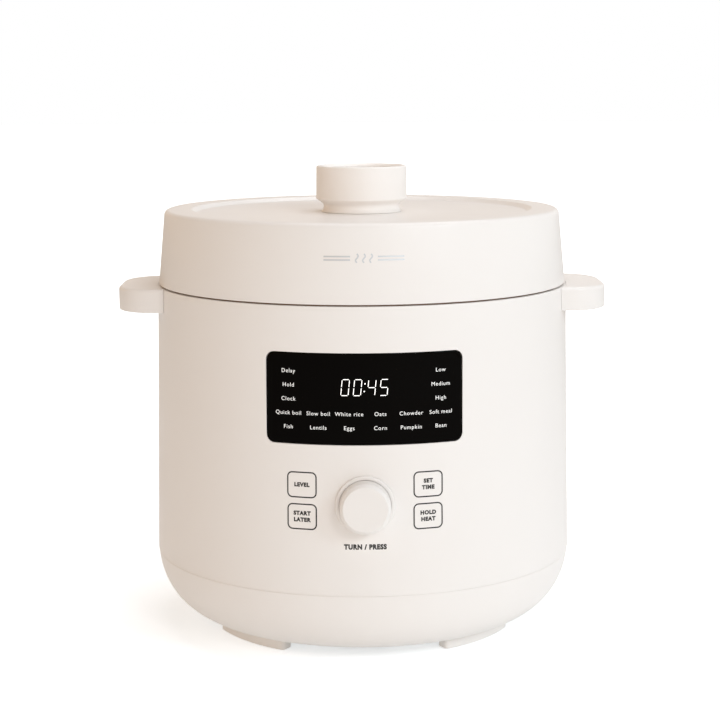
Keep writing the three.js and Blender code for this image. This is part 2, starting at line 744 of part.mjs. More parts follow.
// Inner pot --------------------------------------------------------------------------------------------
function innerPot() {
  const inner = potRadius - potWall;
  const arc = (radius, corner, floor) =>
    [0, 1, 2, 3].map((i) => {
      const angle = (i * Math.PI) / 6;
      return [radius - corner + corner * Math.sin(angle), floor + corner * (1 - Math.cos(angle))];
    });
  return revolve([
    [0, potBottom],
    ...arc(potRadius, potCorner, potBottom),
    [potRadius, potRimBottom],
    [sealOuter, potRimBottom],
    [sealOuter, bodyTop],
    [inner + 0.6, bodyTop],
    [inner, bodyTop - 0.6],
    ...arc(inner, potCorner - potWall, potFloor).reverse(),
    [0, potFloor],
  ], potSides);
}
add('inner_pot', innerPot(), coated);

// Lid ----------------------------------------------------------------------------------------------------
function lidCover() {
  const rimOuter = lidRadius(lidTop);
  const sinkOuter = rimOuter - lidRimWidth;
  const edge = [0, 1, 2, 3].map((i) => {
    const angle = (i * Math.PI) / 6;
    const r = rimOuter - lidEdge * (1 - Math.cos(angle));
    return [r, lidTop - lidEdge * (1 - Math.sin(angle))];
  });
  const under = lidTop - lidEdge - 1;
  const hole = spindleRadius + runGap;
  const profile = [
    [lidRadius(lidBottom), lidBottom],
    ...edge,
    [sinkOuter, lidTop],
    [sinkOuter - 3, coverTop],
    [hole, coverTop],
    [hole, coverUnder],
    [sinkOuter - 4, coverUnder],
    [lidRadius(under) - lidWall, under],
    [lidRadius(lidBottom) - lidWall, lidBottom],
  ];
  let cover = solid(revolve(profile, sides));
  for (const angle of postAngles) {
    const [x, y] = polar(lidPostCircle, angle);
    const foot = plateSurface(lidPostCircle - lidPostRadius) + fit;
    cover = cover.add(solid(disc(lidPostRadius, foot, coverUnder + 1, 16).translate(x, y, 0)));
  }
  return cover;
}

const nozzlePlace = polar(valveCircle, 345);
const floatPlace = polar(valveCircle, 225);

// Dished steel plate: rim over the seal, a step down, and a slight dome with three holes.
function pressurePlate() {
  const dome = [0, 0.35, 0.7, 1].map((part) => [dishRadius * part, plateSurface(dishRadius * part)]);
  const lower = dome.map(([r, z]) => [r, z - plateWall]);
  const profile = [
    ...lower,
    [dishRadius + 2, plateBottom],
    [flangeOuter, plateBottom],
    [flangeOuter, plateTop],
    [dishRadius + 1, plateTop],
    ...dome.reverse(),
  ];
  const [low, high] = [dishTop - 5, domeTop + 1];
  return cut(
    solid(revolve(profile, potSides)),
    disc(stemRadius + runGap, low, high, 16),
    disc(nozzleRadius + fit, low, high, 12).translate(...nozzlePlace, 0),
    disc(pinRadius + runGap, low, high, 12).translate(...floatPlace, 0),
  );
}

function sealingRing() {
  const [top, lip] = [sealBottom + sealHeight, 2.4];
  return revolve([
    [sealInner, sealBottom],
    [sealOuter, sealBottom],
    [sealOuter, top],
    [sealInner, top],
    [sealInner, top - lip],
    [sealInner + 3.5, top - lip],
    [sealInner + 3.5, sealBottom + lip],
    [sealInner, sealBottom + lip],
  ]);
}

add('lid_cover', lidCover(), cream);
add('pressure_plate', pressurePlate(), steel);
add('sealing_ring', sealingRing(), silicone);
const retainer = ring(sealInner - 2.6, sealInner - fit, sealBottom + 1, plateBottom - fit);
add('seal_retainer', retainer, steel);
const guideFoot = domeTop + fit;
const guideTop = guideFoot + guideHeight;
const guide = ring(stemRadius + runGap, guideOuter, guideFoot, guideTop, smallSides);
add('valve_guide', guide, darkPlastic);

// Pressure limiter on the plate: a nozzle, a loose weight over it and a guard below.
const valveSeat = plateSurface(valveCircle);
const nozzleLow = valveSeat - plateWall - 4;
const nozzleTop = valveSeat + nozzleHeight;
const nozzleProfile = [
  [1.2, nozzleLow],
  [nozzleRadius, nozzleLow],
  [nozzleRadius, valveSeat + fit + 0.3],
  [nozzleRadius + 3, valveSeat + fit + 0.3],
  [nozzleRadius + 3, valveSeat + 4],
  [nozzleRadius, valveSeat + 4],
  [nozzleRadius - 1, nozzleTop],
  [1.2, nozzleTop],
];
add('limiter_nozzle', revolve(nozzleProfile, 12).translate(...nozzlePlace, 0), steel);
const weightBore = nozzleRadius + 0.8;
const weightProfile = [
  [weightBore, valveSeat + 5],
  [weightRadius, valveSeat + 5],
  [weightRadius, nozzleTop + 8],
  [0, nozzleTop + 8],
  [0, nozzleTop + fit],
  [weightBore, nozzleTop + fit],
];
add('limiter_weight', revolve(weightProfile, smallSides).translate(...nozzlePlace, 0), steel);

function blockGuard() {
  const wall = 1.2;
  const [low, high] = [nozzleLow - 2, plateSurface(valveCircle - guardRadius - 1) - plateWall - wall];
  const cap = revolve([
    [0, low],
    [guardRadius, low],
    [guardRadius, high],
    [guardRadius - wall, high],
    [guardRadius - wall, low + wall],
    [0, low + wall],
  ], 16);
  const hub = ring(nozzleRadius + fit, 7, low + 0.6, high, 12);
  const holes = [0, 90, 180, 270].map((angle) => {
    const [x, y] = polar(9.5, angle);
    return disc(1.8, low - 1, low + 2, 6).translate(x, y, 0);
  });
  return cut(joined(cap, hub), disc(nozzleRadius + fit, low - 1, low + 3, 12), ...holes);
}
add('limiter_guard', blockGuard().translate([...nozzlePlace, 0]), steel);

// Float valve: a pin that rises with pressure, and its silicone cap.
const pinLow = valveSeat - plateWall - floatRise - 4;
const capHigh = plateSurface(valveCircle + 7) - plateWall - floatRise - fit;
const floatHead = plateSurface(valveCircle - 6) + fit;
add('float_pin', revolve([
  [0, pinLow],
  [pinRadius, pinLow],
  [pinRadius, floatHead],
  [pinRadius + 3, floatHead],
  [pinRadius + 3, floatHead + 2],
  [0, floatHead + 2],
], 12).translate(...floatPlace, 0), steel);
const floatCap = ring(pinRadius + fit, pinRadius + 4, capHigh - 2.5, capHigh, 12);
add('float_cap', floatCap.translate(...floatPlace, 0), silicone);

// Lid lock: knob with its hollow spindle, three-armed spider and the lugged ring --------------------
const knobTop = coverTop + fit + knobHeight;
const knobBottom = coverTop + fit;
const buttonRadius = knobRadius - knobWall;
const buttonTop = knobTop - buttonSink;
const wellFloor = buttonTop - buttonThickness - buttonTravel - 4;

function lidKnob() {
  const neckTop = knobBottom + knobNeckHeight;
  const fillet = 2.1;
  const rim = [0, 1, 2].map((i) => {
    const angle = (i * Math.PI) / 4;
    return [knobRadius - fillet * (1 - Math.cos(angle)), knobTop - fillet * (1 - Math.sin(angle))];
  });
  const bore = spindleRadius - spindleWall;
  return revolve([
    [bore, spiderTop + fit],
    [spindleRadius, spiderTop + fit],
    [spindleRadius, knobBottom],
    [knobNeckRadius + 1.2, knobBottom],
    [knobNeckRadius, knobBottom + 2.5],
    [knobNeckRadius, neckTop - 2.5],
    [knobRadius - 0.8, neckTop],
    [knobRadius, neckTop + 1],
    ...rim,
    [buttonRadius, knobTop],
    [buttonRadius, wellFloor],
    [bore, wellFloor],
  ], 28);
}

function lockSpider() {
  let spider = solid(ring(guideOuter + runGap, spindleRadius + 4, spiderBottom, spiderTop, 24));
  for (let i = 0; i < spiderArms; i += 1) {
    const half = armWidth / 2;
    const arm = block(spindleRadius + 1, hoopInner - 3, -half, half, spiderBottom, spiderTop);
    spider = spider.add(solid(arm.rotateZ(degrees(armAngle + (360 / spiderArms) * i))));
  }
  return spider;
}

function lockRing() {
  let hoop = solid(revolve([
    [hoopInner, hoopBottom],
    [hoopOuter, hoopBottom],
    [hoopOuter, hoopTop],
    [sealInner, hoopTop],
    [sealInner, hoopFlangeBottom],
    [hoopInner, hoopFlangeBottom],
  ]));
  for (let i = 0; i < lugCount; i += 1) {
    const angle = (360 / lugCount) * i;
    const lug = sector(lugInner, hoopInner + 0.6, hoopBottom, ringLugTop, angle, lugSpan, 3);
    hoop = hoop.add(solid(lug));
  }
  return hoop;
}

add('lid_knob', lidKnob(), cream);
add('lock_spider', lockSpider(), steel);
add('lock_ring', lockRing(), steel);

// Steam release: a button in the knob, its stem and the valve head under the plate -------------------
const stemTop = buttonTop - buttonThickness + 1;
const headTop = domeTop - plateWall - fit;

function releaseButton() {
  const radius = buttonRadius - runGap / 2;
  const dish = 0.8;
  return revolve([
    [stemRadius - 1.5, buttonTop - buttonThickness],
    [radius, buttonTop - buttonThickness],
    [radius, buttonTop],
    [radius - 2, buttonTop],
    [radius - 4, buttonTop - dish],
    [0, buttonTop - dish],
    [0, stemTop + fit],
    [stemRadius - 1.5, stemTop + fit],
  ], 28);
}

function releaseValve() {
  return revolve([
    [0, headTop - 4],
    [8, headTop - 4],
    [8, headTop],
    [stemRadius, headTop],
    [stemRadius, buttonTop - buttonThickness - fit],
    [stemRadius - 1.5 - fit, buttonTop - buttonThickness - fit],
    [stemRadius - 1.5 - fit, stemTop],
    [0, stemTop],
  ], smallSides);
}

add('release_button', releaseButton(), creamMatt);
add('release_valve', releaseValve(), steel);
const springTop = buttonTop - buttonThickness - fit;
add('button_spring', coil(stemRadius + 2.4, 0.8, guideTop + fit, springTop, 4), steel);

export default cooker;
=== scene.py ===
"""Electric pressure cooker: fine surfaces, printing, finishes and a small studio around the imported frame."""
import math

import bmesh
import bpy
import numpy as np
from mathutils import Matrix, Vector


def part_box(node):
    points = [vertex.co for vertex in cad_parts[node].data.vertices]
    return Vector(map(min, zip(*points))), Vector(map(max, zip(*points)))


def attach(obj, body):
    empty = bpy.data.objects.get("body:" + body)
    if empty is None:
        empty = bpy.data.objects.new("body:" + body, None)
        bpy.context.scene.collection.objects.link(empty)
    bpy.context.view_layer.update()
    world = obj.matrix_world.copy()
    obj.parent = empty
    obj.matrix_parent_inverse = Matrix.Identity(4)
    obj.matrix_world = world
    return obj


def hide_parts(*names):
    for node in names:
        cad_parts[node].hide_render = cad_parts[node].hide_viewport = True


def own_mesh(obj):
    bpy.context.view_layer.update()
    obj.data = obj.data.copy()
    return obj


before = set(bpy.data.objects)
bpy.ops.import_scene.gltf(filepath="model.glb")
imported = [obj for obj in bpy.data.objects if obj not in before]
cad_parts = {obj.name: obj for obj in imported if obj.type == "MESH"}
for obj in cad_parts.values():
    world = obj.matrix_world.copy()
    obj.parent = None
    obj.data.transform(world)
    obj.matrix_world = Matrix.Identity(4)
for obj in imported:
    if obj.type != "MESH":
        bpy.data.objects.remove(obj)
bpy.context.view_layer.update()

bl_info = {
    "name": "Pressure cooker",
    "version": (1, 0, 0),
    "blender": (4, 5, 0),
    "location": "View3D > Sidebar > Cooker",
    "description": "Builds the outer surfaces, printing and finishes of an electric pressure cooker",
    "category": "Add Mesh",
}

MM = 0.001
FRONT = -math.pi / 2
REAR = math.pi / 2
FIT = 0.3 * MM  # gap between pieces that touch
INK = 0.04 * MM  # height of printing over its surface
INK_BACK = 0.25 * INK  # height at which printing starts


# Sizes ------------------------------------------------------------------------------------------
class CookerSizes(bpy.types.PropertyGroup):
    """Sizes that the frame does not give, in metres."""

    draft: bpy.props.FloatProperty(
        name="Draft", description="Radius that the wall loses per metre of height", default=0.0194)
    wall: bpy.props.FloatProperty(
        name="Wall", description="Thickness of the body wall", default=3 * MM, unit="LENGTH")
    corner_width: bpy.props.FloatProperty(
        name="Corner width", description="Rounded base corner, inwards", default=42.9 * MM, unit="LENGTH")
    corner_height: bpy.props.FloatProperty(
        name="Corner height", description="Rounded base corner, upwards", default=48.5 * MM, unit="LENGTH")
    corner_power: bpy.props.FloatProperty(
        name="Corner power", description="Power of the base corner's superellipse", default=2.136)
    edge: bpy.props.FloatProperty(
        name="Edge", description="Small rounding on moulded edges", default=0.35 * MM, unit="LENGTH")
    lid_edge: bpy.props.FloatProperty(
        name="Lid edge", description="Rounding of the lid's top edge", default=3.2 * MM, unit="LENGTH")
    knob_edge: bpy.props.FloatProperty(
        name="Knob edge", description="Rounding of the knob's top edge", default=1.0 * MM, unit="LENGTH")
    dial_edge: bpy.props.FloatProperty(
        name="Dial edge", description="Bevel around the dial's face", default=2.1 * MM, unit="LENGTH")
    handle_edge: bpy.props.FloatProperty(
        name="Handle edge", description="Rounding of the handle's edges", default=2.2 * MM, unit="LENGTH")
    turns: bpy.props.IntProperty(
        name="Facets", description="Steps around the large round pieces", default=192, min=48)


class CookerColours(bpy.types.PropertyGroup):
    """Main colours, as linear values."""

    cream: bpy.props.FloatVectorProperty(
        name="Cream", description="Body, lid and handles", subtype="COLOR", size=3,
        default=(0.86, 0.825, 0.79))
    panel: bpy.props.FloatVectorProperty(
        name="Panel", description="Display window", subtype="COLOR", size=3,
        default=(0.0014, 0.0010, 0.0007))
    print_grey: bpy.props.FloatVectorProperty(
        name="Print", description="Printing on the wall", subtype="COLOR", size=3,
        default=(0.022, 0.02, 0.019))


# Curves and surfaces ----------------------------------------------------------------------------
def span(node):
    """Lowest and highest corner of a frame node as two arrays, in metres."""
    low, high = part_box(node)
    return np.array(low), np.array(high)


def mid_height(node):
    """Height of a frame node's middle, in metres."""
    low, high = span(node)
    return (low[2] + high[2]) / 2


def round_corners(corners, closed, steps=5):
    """Outline through [r, z, radius] corners.
    Each corner becomes the arc that touches both of its sides: its centre lies on the bisector at
    radius / sin(half angle), and the arc is the spherical blend of its two end directions."""
    points = np.array([c[:2] for c in corners], float)
    radii = [c[2] if len(c) > 2 else 0.0 for c in corners]
    count = len(points)
    parts = []
    for k in range(count):
        here = points[k]
        ends = not closed and k in (0, count - 1)
        if radii[k] <= 0 or ends:
            parts.append(here[None])
            continue
        back, ahead = points[k - 1] - here, points[(k + 1) % count] - here
        back_length, ahead_length = np.linalg.norm(back), np.linalg.norm(ahead)
        back, ahead = back / back_length, ahead / ahead_length
        half = 0.5 * math.acos(float(np.clip(back @ ahead, -1, 1)))
        reach = min(radii[k] / math.tan(half), 0.49 * back_length, 0.49 * ahead_length)
        radius = reach * math.tan(half)
        middle = here + (back + ahead) / np.linalg.norm(back + ahead) * radius / math.sin(half)
        first, last = (here + back * reach - middle) / radius, (here + ahead * reach - middle) / radius
        total = math.acos(float(np.clip(first @ last, -1, 1)))
        t = np.linspace(0, 1, steps + 1)[:, None]
        arc = (np.sin((1 - t) * total) * first + np.sin(t * total) * last) / math.sin(total)
        parts.append(middle + radius * arc)
    return np.concatenate(parts)


class Skin:
    """Collects grids of points and the quads between them."""

    def __init__(self):
        self.points = []
        self.quads = []
        self.polygons = []
        self.count = 0

    def place(self, points):
        """Adds an array of points [..., 3] and returns their numbers in the same layout."""
        points = np.asarray(points, float)
        numbers = self.count + np.arange(points[..., 0].size).reshape(points.shape[:-1])
        self.points.append(points.reshape(-1, 3))
        self.count += numbers.size
        return numbers

    def join(self, numbers, around=False, along=False, keep=None):
        """Quads between neighbouring rows and columns of point numbers.
        around closes the columns on themselves, along closes the rows, keep drops cells."""
        if around:
            numbers = np.concatenate([numbers, numbers[:, :1]], axis=1)
        if along:
            numbers = np.concatenate([numbers, numbers[:1]], axis=0)
        cells = np.stack([numbers[:-1, :-1], numbers[:-1, 1:], numbers[1:, 1:], numbers[1:, :-1]], -1)
        self.quads.append(cells.reshape(-1, 4) if keep is None else cells[keep])

    def piece(self, name, material, body, slot, replaces=(), sharp=40.0):
        """Makes the object: doubles merged, faces outwards, smooth with sharp edges kept."""
        points = np.concatenate(self.points)
        faces = [quad for block in self.quads for quad in block.tolist()]
        faces += self.polygons
        mesh = bpy.data.meshes.new(name)
        mesh.from_pydata(points, [], faces)
        work = bmesh.new()
        work.from_mesh(mesh)
        bmesh.ops.remove_doubles(work, verts=work.verts, dist=1e-6)
        bmesh.ops.dissolve_degenerate(work, dist=1e-7, edges=work.edges)
        bmesh.ops.recalc_face_normals(work, faces=work.faces)
        work.to_mesh(mesh)
        work.free()
        return finish_piece(mesh, name, material, body, slot, replaces, sharp)


def finish_piece(mesh, name, material, body, slot, replaces=(), sharp=40.0):
    """Shades a mesh, gives it its material and body, and hides the frame nodes that it stands for."""
    mesh.shade_smooth()
    mesh.set_sharp_from_angle(angle=math.radians(sharp))
    mesh.materials.clear()
    mesh.materials.append(material)
    piece = bpy.data.objects.new(name, mesh)
    bpy.context.scene.collection.objects.link(piece)
    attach(piece, body)
    if replaces:
        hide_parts(*replaces)
    return piece


def turn_profile(profile, turns):
    """Surface of revolution: (r cos a, r sin a, z) for each profile point and angle."""
    angle = np.linspace(0, 2 * np.pi, turns, endpoint=False)
    r, z = profile[:, 0][:, None], profile[:, 1][:, None]
    return np.stack([r * np.cos(angle), r * np.sin(angle), z + 0 * angle], -1)


def add_revolved(skin, corners, turns, closed=True, steps=5, at=(0.0, 0.0)):
    """Adds the solid turned from rounded corners, about an upright axis at a place."""
    grid = turn_profile(round_corners(corners, closed, steps), turns)
    grid[..., 0] += at[0]
    grid[..., 1] += at[1]
    skin.join(skin.place(grid), around=True, along=closed)


def rounded_loop(half_a, half_b, corner, steps=6, straight=6):
    """Closed outline of a rectangle with round corners, anticlockwise from the middle of its right side.
    The straight sides are divided too, so that the outline can be bent."""
    quarter = np.linspace(0, np.pi / 2, steps + 1)
    arc = np.stack([np.cos(quarter), np.sin(quarter)], 1) * corner
    arc += [half_a - corner, half_b - corner]
    t = np.linspace(0, 1, straight + 1)[:-1, None]
    right = (1 - t) * np.array([[half_a, 0.0]]) + t * arc[:1]
    top = arc[-1:] * (1 - t[1:]) + np.array([[0.0, half_b]]) * t[1:]
    first = np.concatenate([right, arc, top, [[0.0, half_b]]])
    second = (first * [-1, 1])[::-1][1:]
    upper = np.concatenate([first, second])
    lower = (upper * [1, -1])[::-1][1:-1]
    return np.concatenate([upper, lower])


def add_stack(skin, loops, heights, place, caps=(True, True), rings=10, closed=False):
    """Stacks outlines [n, 2] at heights and maps each (a, b, height) into place.
    A cap is the end outline drawn in towards its middle in even rings."""
    layers = []
    if caps[0]:
        layers += cap_layers(loops[0], heights[0], rings)[::-1]
    for loop, height in zip(loops, heights):
        layers.append((loop, height))
    if caps[1]:
        layers += cap_layers(loops[-1], heights[-1], rings)
    rows = [place(loop[:, 0], loop[:, 1], np.full(len(loop), height)) for loop, height in layers]
    skin.join(skin.place(np.stack(rows)), around=True, along=closed)


def cap_layers(loop, height, rings):
    """Copies of an outline shrunk towards its middle, the last one a single point."""
    middle = loop.mean(0)
    shares = np.linspace(1, 0, rings + 1)[1:]
    return [(middle + (loop - middle) * share, height) for share in shares]


COLUMN_GAP = 0.004  # least angle between grid columns of a pierced shell, in radians
ROW_GAP = 0.4 * MM  # least distance between its grid rows
EVEN_ROWS = 40  # rows that it has besides those at its profile's points and openings
INNER_SHARE = 0.98  # size of the largest ring inside an opening's border


class Opening:
    """A rounded opening or pocket in a turned shell, at an angle and at a height or radius."""

    def __init__(self, angle, level, half_a, half_b, corner, along="z", depth=None):
        self.angle = angle % (2 * math.pi)
        self.level = level
        self.half_a = half_a
        self.half_b = half_b
        self.corner = min(corner, half_a * 0.999, half_b * 0.999)
        self.along = along
        self.depth = depth

    def steps(self, half):
        """Distances from the middle where grid lines go: dense over the round corner."""
        bend = np.sin(np.linspace(0, math.pi / 2, 7))
        side = half - self.corner + self.corner * bend
        return np.concatenate([-side[::-1], side])

    def to_outline(self, a, b, share):
        """Moves points of a square ring at a share of the size onto the rounded ring there."""
        limit_a, limit_b = share * (self.half_a - self.corner), share * (self.half_b - self.corner)
        near_a, near_b = np.clip(a, -limit_a, limit_a), np.clip(b, -limit_b, limit_b)
        off_a, off_b = a - near_a, b - near_b
        length = np.maximum(np.hypot(off_a, off_b), 1e-12)
        reach = share * self.corner
        return near_a + off_a / length * reach, near_b + off_b / length * reach


def round_hole(x, y, radius):
    """Round opening through a floor or plate, about an upright axis."""
    return Opening(math.atan2(y, x), math.hypot(x, y), radius, radius, radius, along="r")


def merge_lines(base, fixed, gap):
    """Grid lines: all fixed ones, and the base ones that stay a gap away from them."""
    fixed = np.unique(np.round(fixed, 9))
    near = np.abs(base[:, None] - fixed[None]).min(1)
    return np.sort(np.concatenate([base[near > gap], fixed]))


def add_pierced_shell(skin, outer, inner, openings, turns, closed_rims=True):
    """Turned shell of two profiles [m, 2] that share one parameter, with openings.
    A point is (r(v) cos u, r(v) sin u, z(v)). Lines of u and v run along each opening's edges, the cells
    inside it are left out, and its border points are drawn onto the rounded outline."""
    reach = np.concatenate([[0], np.cumsum(np.linalg.norm(np.diff(outer, axis=0), axis=1))])
    level = {"r": outer[:, 0], "z": outer[:, 1]}

    def at(profile, v):
        return np.interp(v, reach, profile[:, 0]), np.interp(v, reach, profile[:, 1])

    def inverse(opening, value):
        return np.interp(value, level[opening.along], reach)

    u_fixed, v_fixed = [np.zeros(1)], [reach]
    for hole in openings:
        hole.middle = inverse(hole, hole.level)
        hole.radius = float(at(outer, hole.middle)[0])
        u_fixed.append(hole.angle + hole.steps(hole.half_a) / hole.radius)
        v_fixed.append(inverse(hole, hole.level + hole.steps(hole.half_b)))
    base_u = np.linspace(0, 2 * np.pi, turns, endpoint=False)
    u_lines = merge_lines(base_u, np.concatenate(u_fixed), COLUMN_GAP)
    v_lines = merge_lines(np.linspace(0, reach[-1], EVEN_ROWS), np.concatenate(v_fixed), ROW_GAP)
    U, V = np.meshgrid(u_lines, v_lines)
    keep_outer = np.ones((len(v_lines) - 1, len(u_lines)), bool)
    keep_inner = keep_outer.copy()
    for hole in openings:
        sides = hole.angle + np.array([-1, 1]) * hole.half_a / hole.radius
        hole.columns = [int(np.abs(u_lines - side).argmin()) for side in sides]
        edges = inverse(hole, hole.level + np.array([-1, 1]) * hole.half_b)
        hole.rows = [int(np.abs(v_lines - edge).argmin()) for edge in edges]
        (i0, i1), (j0, j1) = hole.columns, hole.rows
        block = np.s_[j0:j1 + 1, i0:i1 + 1]
        r, z = at(outer, V[block])
        a = (U[block] - hole.angle) * r
        b = (z if hole.along == "z" else r) - hole.level
        share = np.maximum(np.abs(a) / hole.half_a, np.abs(b) / hole.half_b)
        border = np.zeros(a.shape, bool)
        border[[0, -1], :] = True
        border[:, [0, -1]] = True
        share = np.where(border, 1.0, np.minimum(share, INNER_SHARE))
        a, b = hole.to_outline(a, b, share)
        new_v = inverse(hole, hole.level + b)
        hole.u, hole.v = hole.angle + a / at(outer, new_v)[0], new_v
        U[block] = np.where(border, hole.u, U[block])
        V[block] = np.where(border, hole.v, V[block])
        keep_outer[j0:j1, i0:i1] = False
        if hole.depth is None:
            keep_inner[j0:j1, i0:i1] = False

    def surface(profile, u, v, depth=0.0):
        r, z = at(profile, v)
        return np.stack([(r - depth) * np.cos(u), (r - depth) * np.sin(u), z], -1)

    top = skin.place(surface(outer, U, V))
    under = skin.place(surface(inner, U, V))
    skin.join(top, around=True, keep=keep_outer)
    skin.join(under, around=True, keep=keep_inner)
    for row in (0, -1) if closed_rims else (-1,):
        skin.join(np.stack([top[row], under[row]]), around=True)
    for hole in openings:
        (i0, i1), (j0, j1) = hole.columns, hole.rows
        block = np.s_[j0:j1 + 1, i0:i1 + 1]
        if hole.depth is None:
            skin.join(np.stack([border_of(top[block]), border_of(under[block])]), around=True)
        else:
            floor = skin.place(surface(outer, hole.u, hole.v, hole.depth))
            skin.join(floor)
            skin.join(np.stack([border_of(top[block]), border_of(floor)]), around=True)


def border_of(block):
    """Numbers around the edge of a rectangular block, in order."""
    return np.concatenate([block[0, :-1], block[:-1, -1], block[-1, :0:-1], block[:0:-1, 0]])


# Finishes ---------------------------------------------------------------------------------------
def start_material(name):
    """New material with its node tree, its shader and a socket of the piece's own coordinates."""
    material = bpy.data.materials.new(name)
    material.use_nodes = True
    tree = material.node_tree
    shader = tree.nodes["Principled BSDF"]
    place = tree.nodes.new("ShaderNodeTexCoord")
    return material, tree, shader, place.outputs["Object"]


def noise(tree, vector, scale, detail=3.0, rough=0.5):
    """Noise texture's factor over a vector."""
    node = tree.nodes.new("ShaderNodeTexNoise")
    node.inputs["Scale"].default_value = scale
    node.inputs["Detail"].default_value = detail
    node.inputs["Roughness"].default_value = rough
    tree.links.new(vector, node.inputs["Vector"])
    return node.outputs["Fac"]


def between(tree, factor, low, high):
    """Maps the common part of a noise, 0.3 to 0.7, onto a range of values."""
    node = tree.nodes.new("ShaderNodeMapRange")
    node.inputs["From Min"].default_value = 0.3
    node.inputs["From Max"].default_value = 0.7
    node.inputs["To Min"].default_value = low
    node.inputs["To Max"].default_value = high
    tree.links.new(factor, node.inputs["Value"])
    return node.outputs["Result"]


def two_tone(tree, factor, first, second):
    """Mix of two colours by a factor."""
    node = tree.nodes.new("ShaderNodeMix")
    node.data_type = "RGBA"
    node.inputs[6].default_value = (*first, 1)
    node.inputs[7].default_value = (*second, 1)
    tree.links.new(factor, node.inputs[0])
    return node.outputs[2]


def bump(tree, shader, height, strength, distance):
    """Bends the shader's normal by a height."""
    node = tree.nodes.new("ShaderNodeBump")
    node.inputs["Strength"].default_value = strength
    node.inputs["Distance"].default_value = distance
    tree.links.new(height, node.inputs["Height"])
    tree.links.new(node.outputs["Normal"], shader.inputs["Normal"])


def moulded_plastic(name, colour, roughness, grain=0.12, coat=0.0, tone=0.02):
    """Moulded plastic: faint cloudy tone, slightly uneven gloss and a fine texture."""
    material, tree, shader, place = start_material(name)
    colour = np.array(colour)
    clouds = noise(tree, place, 9.0, 2.0)
    tree.links.new(two_tone(tree, clouds, colour * (1 - tone), np.minimum(colour * (1 + tone), 1)),
                   shader.inputs["Base Color"])
    gloss = noise(tree, place, 40.0, 4.0)
    tree.links.new(between(tree, gloss, roughness - 0.03, roughness + 0.04), shader.inputs["Roughness"])
    bump(tree, shader, noise(tree, place, 1400.0, 2.0), grain, 0.02 * MM)
    shader.inputs["Coat Weight"].default_value = coat
    shader.inputs["Coat Roughness"].default_value = 0.2
    return material


def turned_metal(name, colour, roughness, ring_scale=700.0, strength=0.25):
    """Metal with fine circular brushing: noise over the distance from the axis."""
    material, tree, shader, place = start_material(name)
    split = tree.nodes.new("ShaderNodeSeparateXYZ")
    tree.links.new(place, split.inputs["Vector"])
    flat = tree.nodes.new("ShaderNodeCombineXYZ")
    tree.links.new(split.outputs["X"], flat.inputs["X"])
    tree.links.new(split.outputs["Y"], flat.inputs["Y"])
    length = tree.nodes.new("ShaderNodeVectorMath")
    length.operation = "LENGTH"
    tree.links.new(flat.outputs["Vector"], length.inputs[0])
    rings = tree.nodes.new("ShaderNodeCombineXYZ")
    tree.links.new(length.outputs["Value"], rings.inputs["X"])
    tree.links.new(split.outputs["Z"], rings.inputs["Y"])
    brushing = noise(tree, rings.outputs["Vector"], ring_scale, 4.0, 0.7)
    colour = np.array(colour)
    tree.links.new(two_tone(tree, brushing, colour * 0.9, np.minimum(colour * 1.08, 1)),
                   shader.inputs["Base Color"])
    tree.links.new(between(tree, brushing, roughness - 0.08, roughness + 0.1), shader.inputs["Roughness"])
    shader.inputs["Metallic"].default_value = 1.0
    bump(tree, shader, brushing, strength, 0.01 * MM)
    return material


def coated_metal(name):
    """Dark non-stick coating with tiny pale speckles over a satin surface."""
    material, tree, shader, place = start_material(name)
    cells = tree.nodes.new("ShaderNodeTexVoronoi")
    cells.inputs["Scale"].default_value = 700.0
    tree.links.new(place, cells.inputs["Vector"])
    dots = tree.nodes.new("ShaderNodeMapRange")
    dots.inputs["From Min"].default_value = 0.10
    dots.inputs["From Max"].default_value = 0.16
    dots.inputs["To Min"].default_value = 1.0
    dots.inputs["To Max"].default_value = 0.0
    tree.links.new(cells.outputs["Distance"], dots.inputs["Value"])
    tree.links.new(two_tone(tree, dots.outputs["Result"], (0.022, 0.022, 0.024), (0.16, 0.16, 0.17)),
                   shader.inputs["Base Color"])
    gloss = noise(tree, place, 60.0, 3.0)
    tree.links.new(between(tree, gloss, 0.32, 0.44), shader.inputs["Roughness"])
    bump(tree, shader, noise(tree, place, 2200.0, 2.0), 0.2, 0.02 * MM)
    return material


def panel_gloss(name, colour):
    """Deep black panel: near mirror gloss with faint wiping marks."""
    material, tree, shader, place = start_material(name)
    clouds = noise(tree, place, 14.0, 3.0)
    tree.links.new(two_tone(tree, clouds, colour, [c * 1.6 for c in colour]), shader.inputs["Base Color"])
    wipes = noise(tree, place, 90.0, 5.0, 0.6)
    tree.links.new(between(tree, wipes, 0.08, 0.14), shader.inputs["Roughness"])
    shader.inputs["Specular IOR Level"].default_value = 0.035
    return material


def ink(name, colour, glow=0.0):
    """Printing or a lit sign: a matt layer with slight uneven cover."""
    material, tree, shader, place = start_material(name)
    cover = noise(tree, place, 900.0, 2.0)
    low = [c * 0.9 for c in colour]
    shade = two_tone(tree, cover, low, colour)
    tree.links.new(shade, shader.inputs["Base Color"])
    shader.inputs["Roughness"].default_value = 0.55
    if glow:
        tree.links.new(shade, shader.inputs["Emission Color"])
        shader.inputs["Emission Strength"].default_value = glow
    return material


